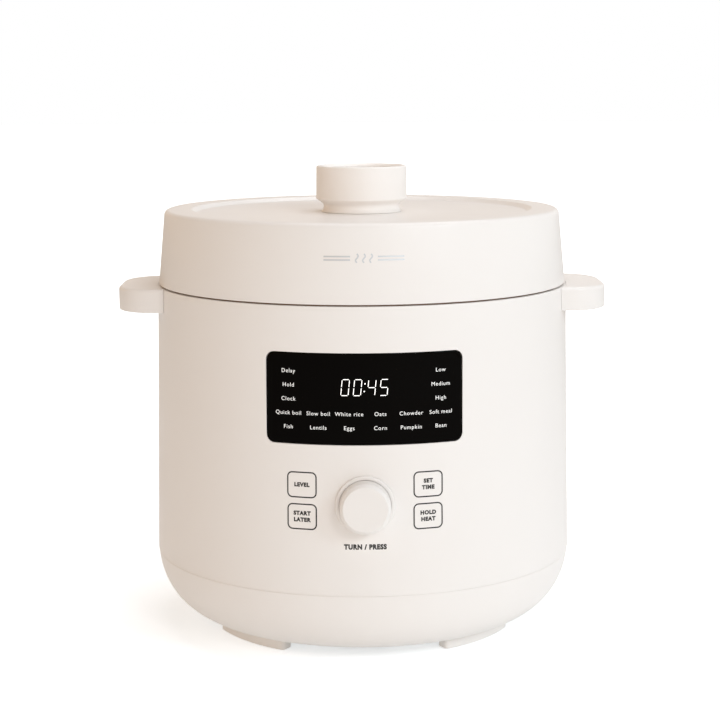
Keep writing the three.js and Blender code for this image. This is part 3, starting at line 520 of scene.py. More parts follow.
def soft_rubber(name, colour, roughness=0.6, see_through=0.0):
    """Rubber or clear plastic: dusty tone and gloss, with light under the skin where it isn't clear."""
    material, tree, shader, place = start_material(name)
    dust = noise(tree, place, 120.0, 5.0, 0.65)
    tree.links.new(two_tone(tree, dust, [c * 0.94 for c in colour], colour), shader.inputs["Base Color"])
    tree.links.new(between(tree, dust, roughness - 0.08, roughness + 0.08), shader.inputs["Roughness"])
    shader.inputs["Subsurface Weight"].default_value = 0.1 if see_through == 0 else 0.0
    shader.inputs["Subsurface Scale"].default_value = 2 * MM
    shader.inputs["Transmission Weight"].default_value = see_through
    bump(tree, shader, dust, 0.1, 0.05 * MM)
    return material


def circuit_board(name):
    """Green board with paler copper runs under the lacquer."""
    material, tree, shader, place = start_material(name)
    bricks = tree.nodes.new("ShaderNodeTexBrick")
    bricks.inputs["Scale"].default_value = 120.0
    bricks.inputs["Color1"].default_value = (0.006, 0.07, 0.035, 1)
    bricks.inputs["Color2"].default_value = (0.01, 0.10, 0.05, 1)
    bricks.inputs["Mortar"].default_value = (0.03, 0.16, 0.08, 1)
    tree.links.new(place, bricks.inputs["Vector"])
    tree.links.new(bricks.outputs["Color"], shader.inputs["Base Color"])
    tree.links.new(between(tree, noise(tree, place, 300.0), 0.3, 0.45), shader.inputs["Roughness"])
    return material


def finishes():
    """All finishes, made once and found again by name."""
    made = getattr(finishes, "made", None)
    if made:
        return made
    colours = bpy.context.scene.cooker_colours
    cream = tuple(colours.cream)
    matt_cream = [c * 0.985 for c in cream]
    made = {
        "cream": moulded_plastic("cream plastic", cream, 0.36, coat=0.10, tone=0.008),
        "cream_matt": moulded_plastic("fine matt cream", matt_cream, 0.42, grain=0.18, tone=0.008),
        "panel": panel_gloss("display black", tuple(colours.panel)),
        # Knob cream, 7 % paler than the body's cream: painted light that brightens the knob cap and its neck.
        "cream_bright": moulded_plastic("cream with painted light", [min(c * 1.07, 1.0) for c in cream], 0.45, tone=0.008),
        "dark": moulded_plastic("dark plastic", (0.03, 0.027, 0.025), 0.5, grain=0.3, tone=0.1),
        # Collar taupe: the collar's own colour, and also painted shade, since it is what shows as the shaded
        # line of the lid seam.
        "taupe": moulded_plastic("taupe plastic", (0.34, 0.21, 0.14), 0.5, grain=0.3, tone=0.06),
        "print_grey": ink("wall printing", tuple(colours.print_grey)),
        "print_white": ink("panel printing", (0.8, 0.8, 0.78), glow=0.5),
        "lit": ink("lit digits", (1.0, 0.99, 0.96), glow=0.9),
        "silver": turned_metal("silver foil", (0.62, 0.64, 0.66), 0.38, 300.0, 0.05),
        "steel": turned_metal("brushed steel", (0.62, 0.62, 0.61), 0.3),
        "aluminium": turned_metal("satin aluminium", (0.72, 0.72, 0.73), 0.38, 500.0, 0.15),
        "coated": coated_metal("non-stick coating"),
        "silicone": soft_rubber("white silicone", (0.75, 0.74, 0.71)),
        "pad": soft_rubber("contact rubber", (0.5, 0.5, 0.48), 0.75),
        "smoky": soft_rubber("smoky plastic", (0.42, 0.42, 0.43), 0.2, see_through=0.55),
        "board": circuit_board("circuit board"),
        "brass": turned_metal("brass", (0.66, 0.47, 0.17), 0.3),
    }
    finishes.made = made
    return made


SLOT_OF_FINISH = {
    "cream": "cream_plastic", "cream_matt": "cream_matt", "cream_bright": "cream_plastic",
    "panel": "black_window", "dark": "dark_plastic", "taupe": "dark_plastic",
    "print_grey": "dark_plastic", "print_white": "cream_plastic", "lit": "cream_plastic", "silver": "steel",
    "steel": "steel", "aluminium": "bare_aluminium", "coated": "coated_aluminium", "silicone": "silicone",
    "pad": "rubber_pad", "smoky": "smoky_plastic", "board": "circuit_board", "brass": "brass",
}


def make(skin, name, finish, body, replaces=(), sharp=40.0):
    """Turns a skin into a piece with a named finish."""
    return skin.piece(name, finishes()[finish], body, SLOT_OF_FINISH[finish], replaces, sharp)


# Shared outlines --------------------------------------------------------------------------------
def wall_radius(z):
    """Outer radius of the body wall at a height: a cone with a slight draft."""
    sizes = bpy.context.scene.cooker_sizes
    widest = span("body_shell")[1][0]
    base_low = span("base_cover")[0][2]
    return widest - sizes.draft * (z - base_low - sizes.corner_height)


def on_wall(angle, level):
    """Map of (along the wall, upwards, out of it) around an angle and height on the wall."""
    around = wall_radius(level)

    def place(a, b, out):
        turn = angle + a / around
        r = wall_radius(level + b) + out
        return np.stack([r * np.cos(turn), r * np.sin(turn), level + b], -1)

    return place


LID_TAPER = 0.094  # radius that the lid's side loses per metre of height
LID_WALL = 2.5 * MM
LID_SINK = 2.5 * MM  # depth of the lid's sunken middle


def on_lid(angle, level):
    """The same map on the lid's tapered side."""
    low, high = span("lid_cover")
    around = high[0] - LID_TAPER * (level - low[2])

    def place(a, b, out):
        turn = angle + a / around
        r = high[0] - LID_TAPER * (level + b - low[2]) + out
        return np.stack([r * np.cos(turn), r * np.sin(turn), level + b], -1)

    return place


def base_corner(inset, top, steps):
    """Rounded base corner up to a height: a superellipse of radius and height, inset by a wall."""
    sizes = bpy.context.scene.cooker_sizes
    low = span("base_cover")[0][2] + inset
    start = span("body_shell")[1][0] - sizes.corner_width
    width, height = sizes.corner_width - inset, sizes.corner_height - inset
    end = math.acos((1 - (top - low) / height) ** (sizes.corner_power / 2))
    t = np.linspace(0, end, steps)
    power = 2 / sizes.corner_power
    return np.stack([start + width * np.sin(t) ** power, low + height * (1 - np.cos(t) ** power)], 1)


# Body -------------------------------------------------------------------------------------------
WINDOW_CORNER = 5 * MM
WINDOW_DEPTH = 1.8 * MM
RIM_RISE = 0.5 * MM  # wall and handles over their frame nodes, which narrows the gap below the lid
SHAFT_HOLE = 4.5 * MM  # radius of the hole behind the dial
DRAIN_HOLE = 4.6 * MM


def window_place():
    """Half width along the wall, half height and middle height of the display window."""
    low, high = span("display_window")
    level = mid_height("display_window")
    around = wall_radius(level)
    return around * math.asin(high[0] / around), (high[2] - low[2]) / 2, level


class COOKER_OT_body_wall(bpy.types.Operator):
    """Body wall: a tapered turned shell with a pocket for the window and holes for dial and drain"""

    bl_idname = "cooker.body_wall"
    bl_label = "Body wall"

    def execute(self, context):
        sizes = context.scene.cooker_sizes
        low, high = span("body_shell")
        bottom, top, edge, wall = low[2], high[2] + RIM_RISE, sizes.edge, sizes.wall
        rows = np.linspace(bottom + edge, top - edge, 24)
        quarter = np.linspace(0, math.pi / 2, 4)
        closing, leaving = edge * (1 - np.sin(quarter)), edge * (1 - np.cos(quarter))
        foot = np.stack([wall_radius(bottom) - closing, bottom + leaving], 1)
        rim = np.stack([wall_radius(top) - leaving, top - closing], 1)
        side = np.stack([np.minimum(wall_radius(rows), high[0]), rows], 1)
        outer = np.concatenate([foot[:-1], side, rim[1:]])
        inner = np.stack([np.minimum(wall_radius(outer[:, 1]), high[0]) - wall, outer[:, 1]], 1)
        half_a, half_b, level = window_place()
        drain_level = span("drain_spout")[0][2] + 4 * MM
        openings = [
            Opening(FRONT, level, half_a + FIT, half_b + FIT, WINDOW_CORNER + FIT, depth=WINDOW_DEPTH + FIT),
            Opening(FRONT, mid_height("control_dial"), SHAFT_HOLE, SHAFT_HOLE, SHAFT_HOLE),
            Opening(REAR, drain_level, DRAIN_HOLE, DRAIN_HOLE, DRAIN_HOLE),
        ]
        skin = Skin()
        add_pierced_shell(skin, outer, inner, openings, sizes.turns)
        make(skin, "body_wall", "cream", "cooker_base", ["body_shell"])
        return {"FINISHED"}


VENT_RADIUS = 74 * MM  # from the axis to the middle of a vent
SCREW_WELL = 4.3 * MM  # radius of the well that a base screw's head goes up
SCREW_HOLE = 1.9 * MM
POST_RADIUS = 6.5 * MM


class COOKER_OT_base_shell(bpy.types.Operator):
    """Base shell: a superellipse corner on a flat floor, with vents, screw wells, the inlet hole and posts"""

    bl_idname = "cooker.base_shell"
    bl_label = "Base shell"

    def execute(self, context):
        sizes = context.scene.cooker_sizes
        low, high = span("base_cover")
        wall_low = span("body_shell")[0][2]
        seam = wall_low - 0.15 * MM
        wall, edge = 2.5 * MM, sizes.edge
        corner = base_corner(0, seam - edge, 40)
        lip_out = wall_radius(seam) - sizes.wall - FIT
        quarter = np.linspace(0, math.pi / 2, 4)[1:]
        rounded = corner[-1] - [edge, 0] + edge * np.stack([np.cos(quarter), np.sin(quarter)], 1)
        floor_r = np.linspace(0, corner[0, 0], 14)[:-1]
        floor = np.stack([floor_r, np.full(13, low[2])], 1)
        lip_top = high[2] - 2 * MM
        lip_in = lip_out - 2 * MM
        ledge, ledge_top = wall_radius(seam) - 0.6 * MM, wall_low - 0.02 * MM
        lip = np.array([[ledge, seam], [ledge, ledge_top], [lip_out, ledge_top],
                        [lip_out, lip_top - edge], [lip_out - edge, lip_top]])
        outer = np.concatenate([floor, corner, rounded, lip])
        inside_corner = base_corner(wall, seam - 4 * MM, 40)
        inner_floor = np.stack([floor_r, np.full(13, low[2] + wall)], 1)
        # The first point is repeated, because both profiles have the same number of points.
        inner_top = np.array([[lip_in, seam - 3 * MM]] * 5 + [
            [lip_in, seam - 1 * MM], [lip_in, lip_top - edge], [lip_in, lip_top]])
        inner = np.concatenate([inner_floor, inside_corner, inner_top])
        inlet_low, inlet_high = span("power_inlet")
        inlet_half = (inlet_high[2] - inlet_low[2]) / 2
        openings = [Opening(REAR, mid_height("power_inlet"), inlet_high[0] + FIT, inlet_half + FIT, 1 * MM)]
        for quarter_turn in range(4):
            for offset in (-7, 7):
                angle = math.radians(90 * quarter_turn + offset)
                openings.append(Opening(angle, VENT_RADIUS, 3 * MM, 12 * MM, 2.6 * MM, along="r"))
        screws = [span(f"base_screw_{i}") for i in (1, 2, 3, 4)]
        places = [((a + b) / 2)[:2] for a, b in screws]
        openings += [round_hole(x, y, SCREW_WELL) for x, y in places]
        skin = Skin()
        add_pierced_shell(skin, outer, inner, openings, sizes.turns, closed_rims=False)
        post_low, post_top = low[2] + wall, span("outer_pot")[0][2] - FIT
        shoulder = post_low + 18 * MM
        for x, y in places:
            add_revolved(skin, [
                (SCREW_WELL, post_low), (POST_RADIUS, post_low), (POST_RADIUS, post_top, 0.6 * MM),
                (SCREW_HOLE, post_top), (SCREW_HOLE, shoulder), (SCREW_WELL, shoulder),
            ], 32, at=(x, y))
        make(skin, "base_shell", "cream", "cooker_base", ["base_cover"])
        return {"FINISHED"}


FOOT_OUTER = 103 * MM  # from the axis to the outer side of a foot
FOOT_HALF_ANGLE = 18  # degrees


class COOKER_OT_feet(bpy.types.Operator):
    """Four curved feet: rounded ring sectors whose tops follow the base corner"""

    bl_idname = "cooker.feet"
    bl_label = "Feet"

    def execute(self, context):
        curve = base_corner(0, 20 * MM, 40)
        for place_name in ("front_left", "front_right", "rear_left", "rear_right"):
            node = f"foot_{place_name}"
            low, high = span(node)
            middle = (low + high) / 2
            angle = math.atan2(middle[1], middle[0])
            inner_r, outer_r = curve[0, 0] - 1.5 * MM, FOOT_OUTER
            half_b = (outer_r - inner_r) / 2
            around = (inner_r + outer_r) / 2

            def place(a, b, share, angle=angle, around=around):
                r = around + b
                top = np.interp(r, curve[:, 0], curve[:, 1]) - FIT
                turn = angle + a / around
                return np.stack([r * np.cos(turn), r * np.sin(turn), top * share], -1)

            half_a = math.radians(FOOT_HALF_ANGLE) * around
            loops = [rounded_loop(half_a - inset, half_b - inset, 2.4 * MM - inset, 6, 14)
                     for inset in (0.7 * MM, 0.2 * MM, 0.0, 0.0)]
            skin = Skin()
            add_stack(skin, loops, [0.0, 0.03, 0.12, 1.0], place, rings=6)
            make(skin, f"soft_{node}", "cream", "cooker_base", [node])
        return {"FINISHED"}


HANDLE_GAP = 0.12 * MM  # between handle and wall
HANDLE_CORNER = (24 * MM, 30 * MM)  # quarter ellipse, outwards and along the wall
HANDLE_WALL = 3 * MM
HANDLE_FOOT = 0.8 * MM  # rounding of the lower edge
HANDLE_HOLLOW = 0.6 * MM  # slope at the top of the hollow


class COOKER_OT_handles(bpy.types.Operator):
    """Side handles: a flat plate with round corners and rolled edges, hollow below, closed on the wall"""

    bl_idname = "cooker.handles"
    bl_label = "Handles"

    def execute(self, context):
        sizes = context.scene.cooker_sizes
        corner_x, corner_y = HANDLE_CORNER
        wall = HANDLE_WALL
        for side, node in ((1, "handle_right"), (-1, "handle_left")):
            low, high = span(node)
            tip, half = max(abs(low[0]), high[0]), high[1]
            bottom, top = low[2] - RIM_RISE, high[2] + RIM_RISE

            def loop(inset, wall_inset, level):
                """Outer side: straight, quarter ellipse, short end, quarter ellipse, straight.
                Inner side: an arc about the axis."""
                y_end = half - inset
                arc = np.linspace(math.pi / 2, 0, 28)
                near = wall_radius(level) + HANDLE_GAP
                start = math.sqrt((near + wall_inset) ** 2 - y_end ** 2)
                bend_x, bend_y = tip - corner_x, half - corner_y
                run = np.linspace(start, bend_x, 5)[:-1]
                first = np.stack([run, np.full(4, y_end)], 1)
                turn = np.stack([bend_x + (corner_x - inset) * np.cos(arc),
                                 bend_y + (corner_y - inset) * np.sin(arc)], 1)
                upper = np.concatenate([first, turn, [[tip - inset, bend_y / 2], [tip - inset, 0.0]]])
                outer = np.concatenate([upper, (upper * [1, -1])[::-1][1:]])
                back_y = np.linspace(-y_end, y_end, 26)[1:-1]
                back = np.stack([np.sqrt((near + wall_inset) ** 2 - back_y ** 2), back_y], 1)
                return np.concatenate([outer, back])

            roll = np.linspace(0, math.pi / 2, 9)
            edge = sizes.handle_edge
            insets = list(edge * (1 - np.sin(roll))) + list(HANDLE_FOOT * (1 - np.cos(roll[1:])))
            heights = list(top - edge * (1 - np.cos(roll)))
            heights += list(bottom + HANDLE_FOOT * (1 - np.sin(roll[1:])))
            hollow = [wall, wall, wall + HANDLE_HOLLOW]
            wall_insets = [0.0] * len(insets) + hollow
            heights += [bottom, top - wall - HANDLE_HOLLOW, top - wall]
            loops = [loop(*values) for values in zip(insets + hollow, wall_insets, heights)]

            def place(a, b, z, side=side):
                return np.stack([side * a, b, z], -1)

            skin = Skin()
            add_stack(skin, loops, heights, place, rings=6)
            make(skin, f"soft_{node}", "cream", "cooker_base", [node], sharp=50.0)
        return {"FINISHED"}


# Front ------------------------------------------------------------------------------------------
class COOKER_OT_window(bpy.types.Operator):
    """Display window: a rounded plate bent to the wall, flush with it"""

    bl_idname = "cooker.window"
    bl_label = "Display window"

    def execute(self, context):
        half_a, half_b, level = window_place()
        insets = [0.35 * MM, 0.1 * MM, 0.0, 0.0]
        loops = [rounded_loop(half_a - i, half_b - i, WINDOW_CORNER - i, 10, 24) for i in insets]
        skin = Skin()
        heights = [0.0, -0.1 * MM, -0.3 * MM, -WINDOW_DEPTH]
        add_stack(skin, loops, heights, on_wall(FRONT, level), rings=24)
        make(skin, "window_glass", "panel", "cooker_base", ["display_window"])
        return {"FINISHED"}


LETTER_SPACING = 1.14


def add_words(parts, text, place, a, b, size, bold, width=None):
    """Adds flat letters to a list of parts: a thin solid about (a, b), mapped onto a surface by place.
    bold thickens the strokes, and width stretches the whole text to a given length."""
    curve = bpy.data.curves.new("letters", "FONT")
    curve.body = text
    curve.align_x = "CENTER"
    curve.align_y = "CENTER"
    curve.size = size
    curve.offset = bold
    curve.space_character = LETTER_SPACING
    curve.extrude = 0.5 * INK
    curve.resolution_u = 3
    holder = bpy.data.objects.new("letters", curve)
    bpy.context.scene.collection.objects.link(holder)
    bpy.context.view_layer.update()
    mesh = bpy.data.meshes.new_from_object(holder.evaluated_get(bpy.context.evaluated_depsgraph_get()))
    points = np.empty(len(mesh.vertices) * 3)
    mesh.vertices.foreach_get("co", points)
    points = points.reshape(-1, 3)
    if width:
        points[:, 0] *= width / (points[:, 0].max() - points[:, 0].min())
    polygons = [tuple(p.vertices) for p in mesh.polygons]
    bpy.data.objects.remove(holder)
    bpy.data.curves.remove(curve)
    bpy.data.meshes.remove(mesh)
    parts.append((place(points[:, 0] + a, points[:, 1] + b, points[:, 2] + 0.75 * INK), polygons))


def words_piece(parts, name, finish, body):
    """Joins mapped letters into one piece."""
    skin = Skin()
    for points, polygons in parts:
        numbers = skin.place(points)
        skin.polygons += [tuple(int(numbers[v]) for v in polygon) for polygon in polygons]
    return make(skin, name, finish, body, sharp=30.0)


PANEL_COLUMNS = 18.6 * MM  # from one column of words to the next
PANEL_ROWS = 8.45 * MM
PANEL_DROP = 0.45 * MM  # middle row below the middle of the window
PANEL_LETTERS = 3.4 * MM
PANEL_WORDS = [
    ["Delay", "", "", "", "", "Low"],
    ["Hold", "", "", "", "", "Medium"],
    ["Clock", "", "", "", "", "High"],
    ["Quick boil", "Slow boil", "White rice", "Oats", "Chowder", "Soft meal"],
    ["Fish", "Lentils", "Eggs", "Corn", "Pumpkin", "Bean"],
]


class COOKER_OT_panel_words(bpy.types.Operator):
    """Function words on the display window, in six columns and five rows"""

    bl_idname = "cooker.panel_words"
    bl_label = "Panel words"

    def execute(self, context):
        level = window_place()[2]
        place = on_wall(FRONT, level)
        parts = []
        for row, words in enumerate(PANEL_WORDS):
            for column, word in enumerate(words):
                if word:
                    a = (column - 2.5) * PANEL_COLUMNS
                    b = (2 - row) * PANEL_ROWS - PANEL_DROP
                    add_words(parts, word, place, a, b, PANEL_LETTERS, 0.0)
        words_piece(parts, "panel_words", "print_white", "cooker_base")
        return {"FINISHED"}


SEGMENTS = {"0": "abcdef", "4": "fgbc", "5": "afgcd"}  # lit bars of each digit that shows
DIGITS = (("0", -11.6 * MM), ("0", -4.2 * MM), ("4", 4.2 * MM), ("5", 11.6 * MM))
TIME_RISE = 7.2 * MM  # digits over the middle of the window
DOT = 0.42 * MM


class COOKER_OT_time_digits(bpy.types.Operator):
    """Lit time: seven-segment digits of pointed bars, leaning slightly, with two dots"""

    bl_idname = "cooker.time_digits"
    bl_label = "Time digits"

    def execute(self, context):
        place = on_wall(FRONT, window_place()[2])
        width, height, bar, gap, lean = 4.4 * MM, 9.6 * MM, 0.42 * MM, 0.32 * MM, 0.10
        centre, half = TIME_RISE, height / 2
        flat = {"a": half, "g": 0.0, "d": -half}
        upright = {"f": (-1, 1), "b": (1, 1), "e": (-1, -1), "c": (1, -1)}
        skin = Skin()

        def bar_outline(start, end):
            """Bar between two points with pointed ends."""
            start, end = np.array(start), np.array(end)
            way = (end - start) / np.linalg.norm(end - start)
            side = np.array([-way[1], way[0]]) * bar / 2
            start, end = start + way * gap, end - way * gap
            tip = way * bar / 2
            near, far = start + tip, end - tip
            return np.array([start, near - side, far - side, end, far + side, near + side])

        def put(outline):
            """Thin solid of a leaning outline."""
            a, b = outline[:, 0] + lean * (outline[:, 1] - centre), outline[:, 1]
            layers = [place(a, b, np.full(len(a), out)) for out in (INK_BACK, 1.5 * INK)]
            numbers = skin.place(np.stack(layers))
            skin.join(numbers, around=True)
            skin.polygons += [tuple(int(n) for n in row) for row in numbers]

        for digit, x in DIGITS:
            for name in SEGMENTS[digit]:
                if name in flat:
                    y = centre + flat[name]
                    put(bar_outline((x - width / 2, y), (x + width / 2, y)))
                else:
                    side, up = upright[name]
                    edge_x = x + side * width / 2
                    put(bar_outline((edge_x, centre), (edge_x, centre + up * half)))
        round_dot = np.linspace(0, 2 * math.pi, 16, endpoint=False)
        for y in (centre - 2.3 * MM, centre + 2.3 * MM):
            put(np.stack([DOT * np.cos(round_dot), y + DOT * np.sin(round_dot)], 1))
        make(skin, "time_digits", "lit", "cooker_base", sharp=30.0)
        return {"FINISHED"}


KEY_WORDS = {
    ("left", "upper"): ["LEVEL"], ("left", "lower"): ["START", "LATER"],
    ("right", "upper"): ["SET", "TIME"], ("right", "lower"): ["HOLD", "HEAT"],
}
KEY_ARC = 38.5 * MM  # along the wall from the dial to the middle of a key
KEY_LETTERS, KEY_BOLD, KEY_LINES = 3.3 * MM, 0.2 * MM, 4.0 * MM
LABEL_LETTERS, LABEL_BOLD, LABEL_WIDTH = 4.1 * MM, 0.25 * MM, 25.8 * MM
LABEL_DROP = 7.8 * MM  # words below the dial's ring


class COOKER_OT_touch_keys(bpy.types.Operator):
    """Four touch keys: printed rounded frames with words, and the words under the dial"""

    bl_idname = "cooker.touch_keys"
    bl_label = "Touch keys"

    def execute(self, context):
        skin = Skin()
        parts = []
        line = 0.8 * MM
        half_a, half_b, corner = 9.3 * MM, 8.0 * MM, 3.3 * MM
        shapes = [(0.0, INK_BACK), (0.0, INK), (line, INK), (line, INK_BACK)]
        for (side, row), words in KEY_WORDS.items():
            place = on_wall(FRONT, mid_height(f"touch_pad_{side}_{row}"))
            arc = KEY_ARC if side == "right" else -KEY_ARC
            loops = [rounded_loop(half_a - i, half_b - i, corner - i, 8, 6) + [arc, 0.0] for i, _ in shapes]
            add_stack(skin, loops, [out for _, out in shapes], place, caps=(False, False), closed=True)
            for k, word in enumerate(words):
                rise = ((len(words) - 1) / 2 - k) * KEY_LINES
                add_words(parts, word, place, arc, rise, KEY_LETTERS, KEY_BOLD)
        make(skin, "key_frames", "print_grey", "cooker_base", sharp=30.0)
        label = on_wall(FRONT, span("dial_bezel")[0][2] - LABEL_DROP)
        add_words(parts, "TURN / PRESS", label, 0.0, 0.0, LABEL_LETTERS, LABEL_BOLD, width=LABEL_WIDTH)
        words_piece(parts, "wall_words", "print_grey", "cooker_base")
        return {"FINISHED"}


DIAL_TURNS = 128


class COOKER_OT_dial(bpy.types.Operator):
    """Dial: a slightly tapered turned cap with a bevelled face, and the low ring around it on the wall"""

    bl_idname = "cooker.dial"
    bl_label = "Dial and its ring"

    def execute(self, context):
        sizes = context.scene.cooker_sizes
        low, high = span("control_dial")
        radius, back, face = high[0], -high[1], -low[1]
        level = mid_height("control_dial")
        hub, floor = 3.6 * MM, face - 2.2 * MM
        corners = [
            (0.0, floor), (hub, floor), (hub, back + 1 * MM), (radius - 2 * MM, back + 1 * MM),
            (radius - 2 * MM, back, 0.2 * MM), (radius, back, 0.3 * MM),
            (radius - 0.25 * MM, face - sizes.dial_edge, 0.8 * MM),
            (radius - sizes.dial_edge, face, 0.8 * MM), (0.0, face),
        ]
        skin = Skin()
        grid = turn_profile(round_corners(corners, False, 8), DIAL_TURNS)
        turned = np.stack([grid[..., 0], -grid[..., 2], level + grid[..., 1]], -1)
        skin.join(skin.place(turned), around=True)
        make(skin, "dial_cap", "cream_matt", "dial", ["control_dial"])

        ring_low, ring_high = span("dial_bezel")
        outer, front = ring_high[0], -ring_low[1]
        inner, hole = radius + 0.06 * MM, 5.5 * MM
        floor = back - 1.3 * MM
        turn = np.linspace(0, 2 * np.pi, DIAL_TURNS, endpoint=False)
        rolled = np.linspace(0, math.pi / 2, 5)
        lift = 0.9 * MM
        loops, fronts = [], []
        for a in rolled:
            loops.append(outer - lift * (1 - math.cos(a)))
            fronts.append(front - lift * (1 - math.sin(a)))
        loops += [inner + 0.2 * MM, inner, inner, hole]
        fronts += [front, front - 0.2 * MM, floor, floor]
        layers = []
        for r, y in zip(loops, fronts):
            layers.append(np.stack([r * np.cos(turn), np.full(DIAL_TURNS, -y), level + r * np.sin(turn)], -1))
        for r in (hole, outer):
            x, z = r * np.cos(turn), level + r * np.sin(turn)
            layers.append(np.stack([x, -np.sqrt((wall_radius(z) + 0.1 * MM) ** 2 - x ** 2), z], -1))
        skin = Skin()
        skin.join(skin.place(np.stack(layers)), around=True, along=True)
        make(skin, "dial_ring", "cream_matt", "cooker_base", ["dial_bezel"])
        return {"FINISHED"}


# Lid --------------------------------------------------------------------------------------------
LID_POST_PLACE = 85 * MM  # from the axis to each post that holds the lid plate
LID_POST = 5 * MM  # its radius


class COOKER_OT_lid_shell(bpy.types.Operator):
    """Lid: tapered side, rolled top edge, flat rim and a softly sunken middle around the knob's hole"""

    bl_idname = "cooker.lid_shell"
    bl_label = "Lid shell"

    def execute(self, context):
        sizes = context.scene.cooker_sizes
        low, high = span("lid_cover")
        rim = high[0] - LID_TAPER * (high[2] - low[2])
        sunk = rim - 17.5 * MM
        hole = 20.7 * MM
        top, floor = high[2], high[2] - LID_SINK
        ceiling = floor - LID_WALL
        skin = Skin()
        add_revolved(skin, [
            (high[0], low[2], 0.4 * MM), (rim, top, sizes.lid_edge), (sunk, top, 1.6 * MM),
            (sunk - 3.2 * MM, floor, 2.4 * MM), (hole, floor, 0.3 * MM), (hole, ceiling),
            (sunk - 4.5 * MM, ceiling, 2 * MM), (rim - LID_WALL + 0.3 * MM, top - 4 * MM, 2 * MM),
            (high[0] - LID_WALL, low[2], 0.4 * MM),
        ], sizes.turns, steps=8)
        post_foot = span("pressure_plate")[1][2] - 2.4 * MM
        for angle in np.radians((105, 225, 345)):
            at = (LID_POST_PLACE * math.cos(angle), LID_POST_PLACE * math.sin(angle))
            add_revolved(skin, [
                (0.0, post_foot), (LID_POST, post_foot, 0.5 * MM), (LID_POST, ceiling), (0.0, ceiling),
            ], 32, closed=False, at=at)
        make(skin, "lid_shell", "cream", "lid", ["lid_cover"])
        return {"FINISHED"}


class COOKER_OT_emblem(bpy.types.Operator):
    """Plain mark on the lid: three short steam waves between two bars"""

    bl_idname = "cooker.emblem"
    bl_label = "Lid emblem"

    def execute(self, context):
        low = span("lid_cover")[0][2]
        place = on_lid(FRONT, low + 27.5 * MM)
        skin = Skin()
        half = 0.45 * MM

        def ribbon(a, b):
            """Band of even width along a path of points, as a thin closed solid."""
            path = np.stack([a, b], 1)
            way = np.gradient(path, axis=0)
            way /= np.linalg.norm(way, axis=1)[:, None]
            side = np.stack([-way[:, 1], way[:, 0]], 1) * half
            left, right = path + side, path - side
            rows = []
            for line, out in ((left, INK_BACK), (left, INK), (right, INK), (right, INK_BACK)):
                rows.append(place(line[:, 0], line[:, 1], np.full(len(line), out)))
            numbers = skin.place(np.stack(rows))
            skin.join(numbers, along=True)
            skin.polygons += [tuple(int(n) for n in numbers[:, k]) for k in (0, -1)]

        t = np.linspace(-1, 1, 33)
        for x in (-4.2 * MM, 0.0, 4.2 * MM):
            ribbon(x + 0.75 * MM * np.sin(math.pi * t), 2.6 * MM * t)
        for side in (-1, 1):
            for level in (-1.0 * MM, 1.0 * MM):
                run = np.linspace(8.2 * MM, 24 * MM, 17) * side
                ribbon(run, np.full(17, level))
        make(skin, "lid_emblem", "silver", "lid", sharp=30.0)
        return {"FINISHED"}


class COOKER_OT_knob(bpy.types.Operator):
    """Lid knob: cap on a waisted neck with a hollow spindle, and the dished release button inside its rim"""

    bl_idname = "cooker.knob"
    bl_label = "Knob and button"

    def execute(self, context):
        sizes = context.scene.cooker_sizes
        low, high = span("lid_knob")
        button_low, button_high = span("release_button")
        lid_floor = span("lid_cover")[1][2] - LID_SINK + 0.08 * MM
        radius, top, bottom = high[0], high[2], low[2]
        neck, neck_top = 24.6 * MM, lid_floor + 7.8 * MM
        well = button_low[2] - 7 * MM
        rim = button_high[0] + 0.35 * MM
        skin = Skin()
        add_revolved(skin, [
            (17 * MM, bottom, 0.3 * MM), (20 * MM, bottom, 0.3 * MM), (20 * MM, lid_floor),
            (neck + 1.8 * MM, lid_floor, 0.2 * MM), (neck, lid_floor + 2.2 * MM, 4 * MM),
            (neck + 0.2 * MM, neck_top - 2.6 * MM, 3 * MM), (radius - 0.8 * MM, neck_top, 0.4 * MM),
            (radius, neck_top + 0.8 * MM, 0.8 * MM), (radius - 0.25 * MM, top, sizes.knob_edge),
            (rim + 1.6 * MM, top, 0.8 * MM), (rim, top - 1.4 * MM, 0.6 * MM), (rim, well), (17 * MM, well),
        ], 160, steps=8)
        # The knob cap's paler cream is painted light.
        make(skin, "knob_cap", "cream_bright", "lid_lock", ["lid_knob"])
        skin = Skin()
        under, face = button_low[2], button_high[2]
        outer = button_high[0]
        add_revolved(skin, [
            (0.0, under), (outer, under), (outer, face, 0.5 * MM), (outer - 2.5 * MM, face, 2 * MM),
            (outer - 6 * MM, face - 0.8 * MM, 4 * MM), (0.0, face - 0.8 * MM),
        ], 128, closed=False, steps=6)
        make(skin, "button_dish", "cream_matt", "release", ["release_button"])
        return {"FINISHED"}


# Inside -----------------------------------------------------------------------------------------
LUGS = 6
HOOP_WALL = 1.5 * MM  # lock ring
LUG_DEPTH = 5.5 * MM  # inwards from the lock ring
FLANGE_GAP = 1.4 * MM  # between those lugs and the liner's flange, and between its lugs and the hoop
FLANGE_WIDTH = 4 * MM
POT_GAP = 3.5 * MM  # between liner and inner pot
SEAL_WIDTH = 7 * MM


def add_lugs(skin, inner_r, outer_r, low, high, first, spread=24.0):
    """Rounded lugs as ring sectors of a spread in degrees, evenly around from a first angle."""
    around = (inner_r + outer_r) / 2
    half_b = (outer_r - inner_r) / 2
    half_a = math.radians(spread / 2) * around
    step = 0.25 * MM
    insets = (step, 0.0, 0.0, step)
    for k in range(LUGS):
        angle = math.radians(first + 360 // LUGS * k)

        def place(a, b, z, angle=angle):
            turn = angle + a / around
            return np.stack([(around + b) * np.cos(turn), (around + b) * np.sin(turn), z], -1)

        loops = [rounded_loop(half_a - i, half_b - i, 1.2 * MM, 4, 8) for i in insets]
        add_stack(skin, loops, [low, low + step, high - step, high], place, rings=3)


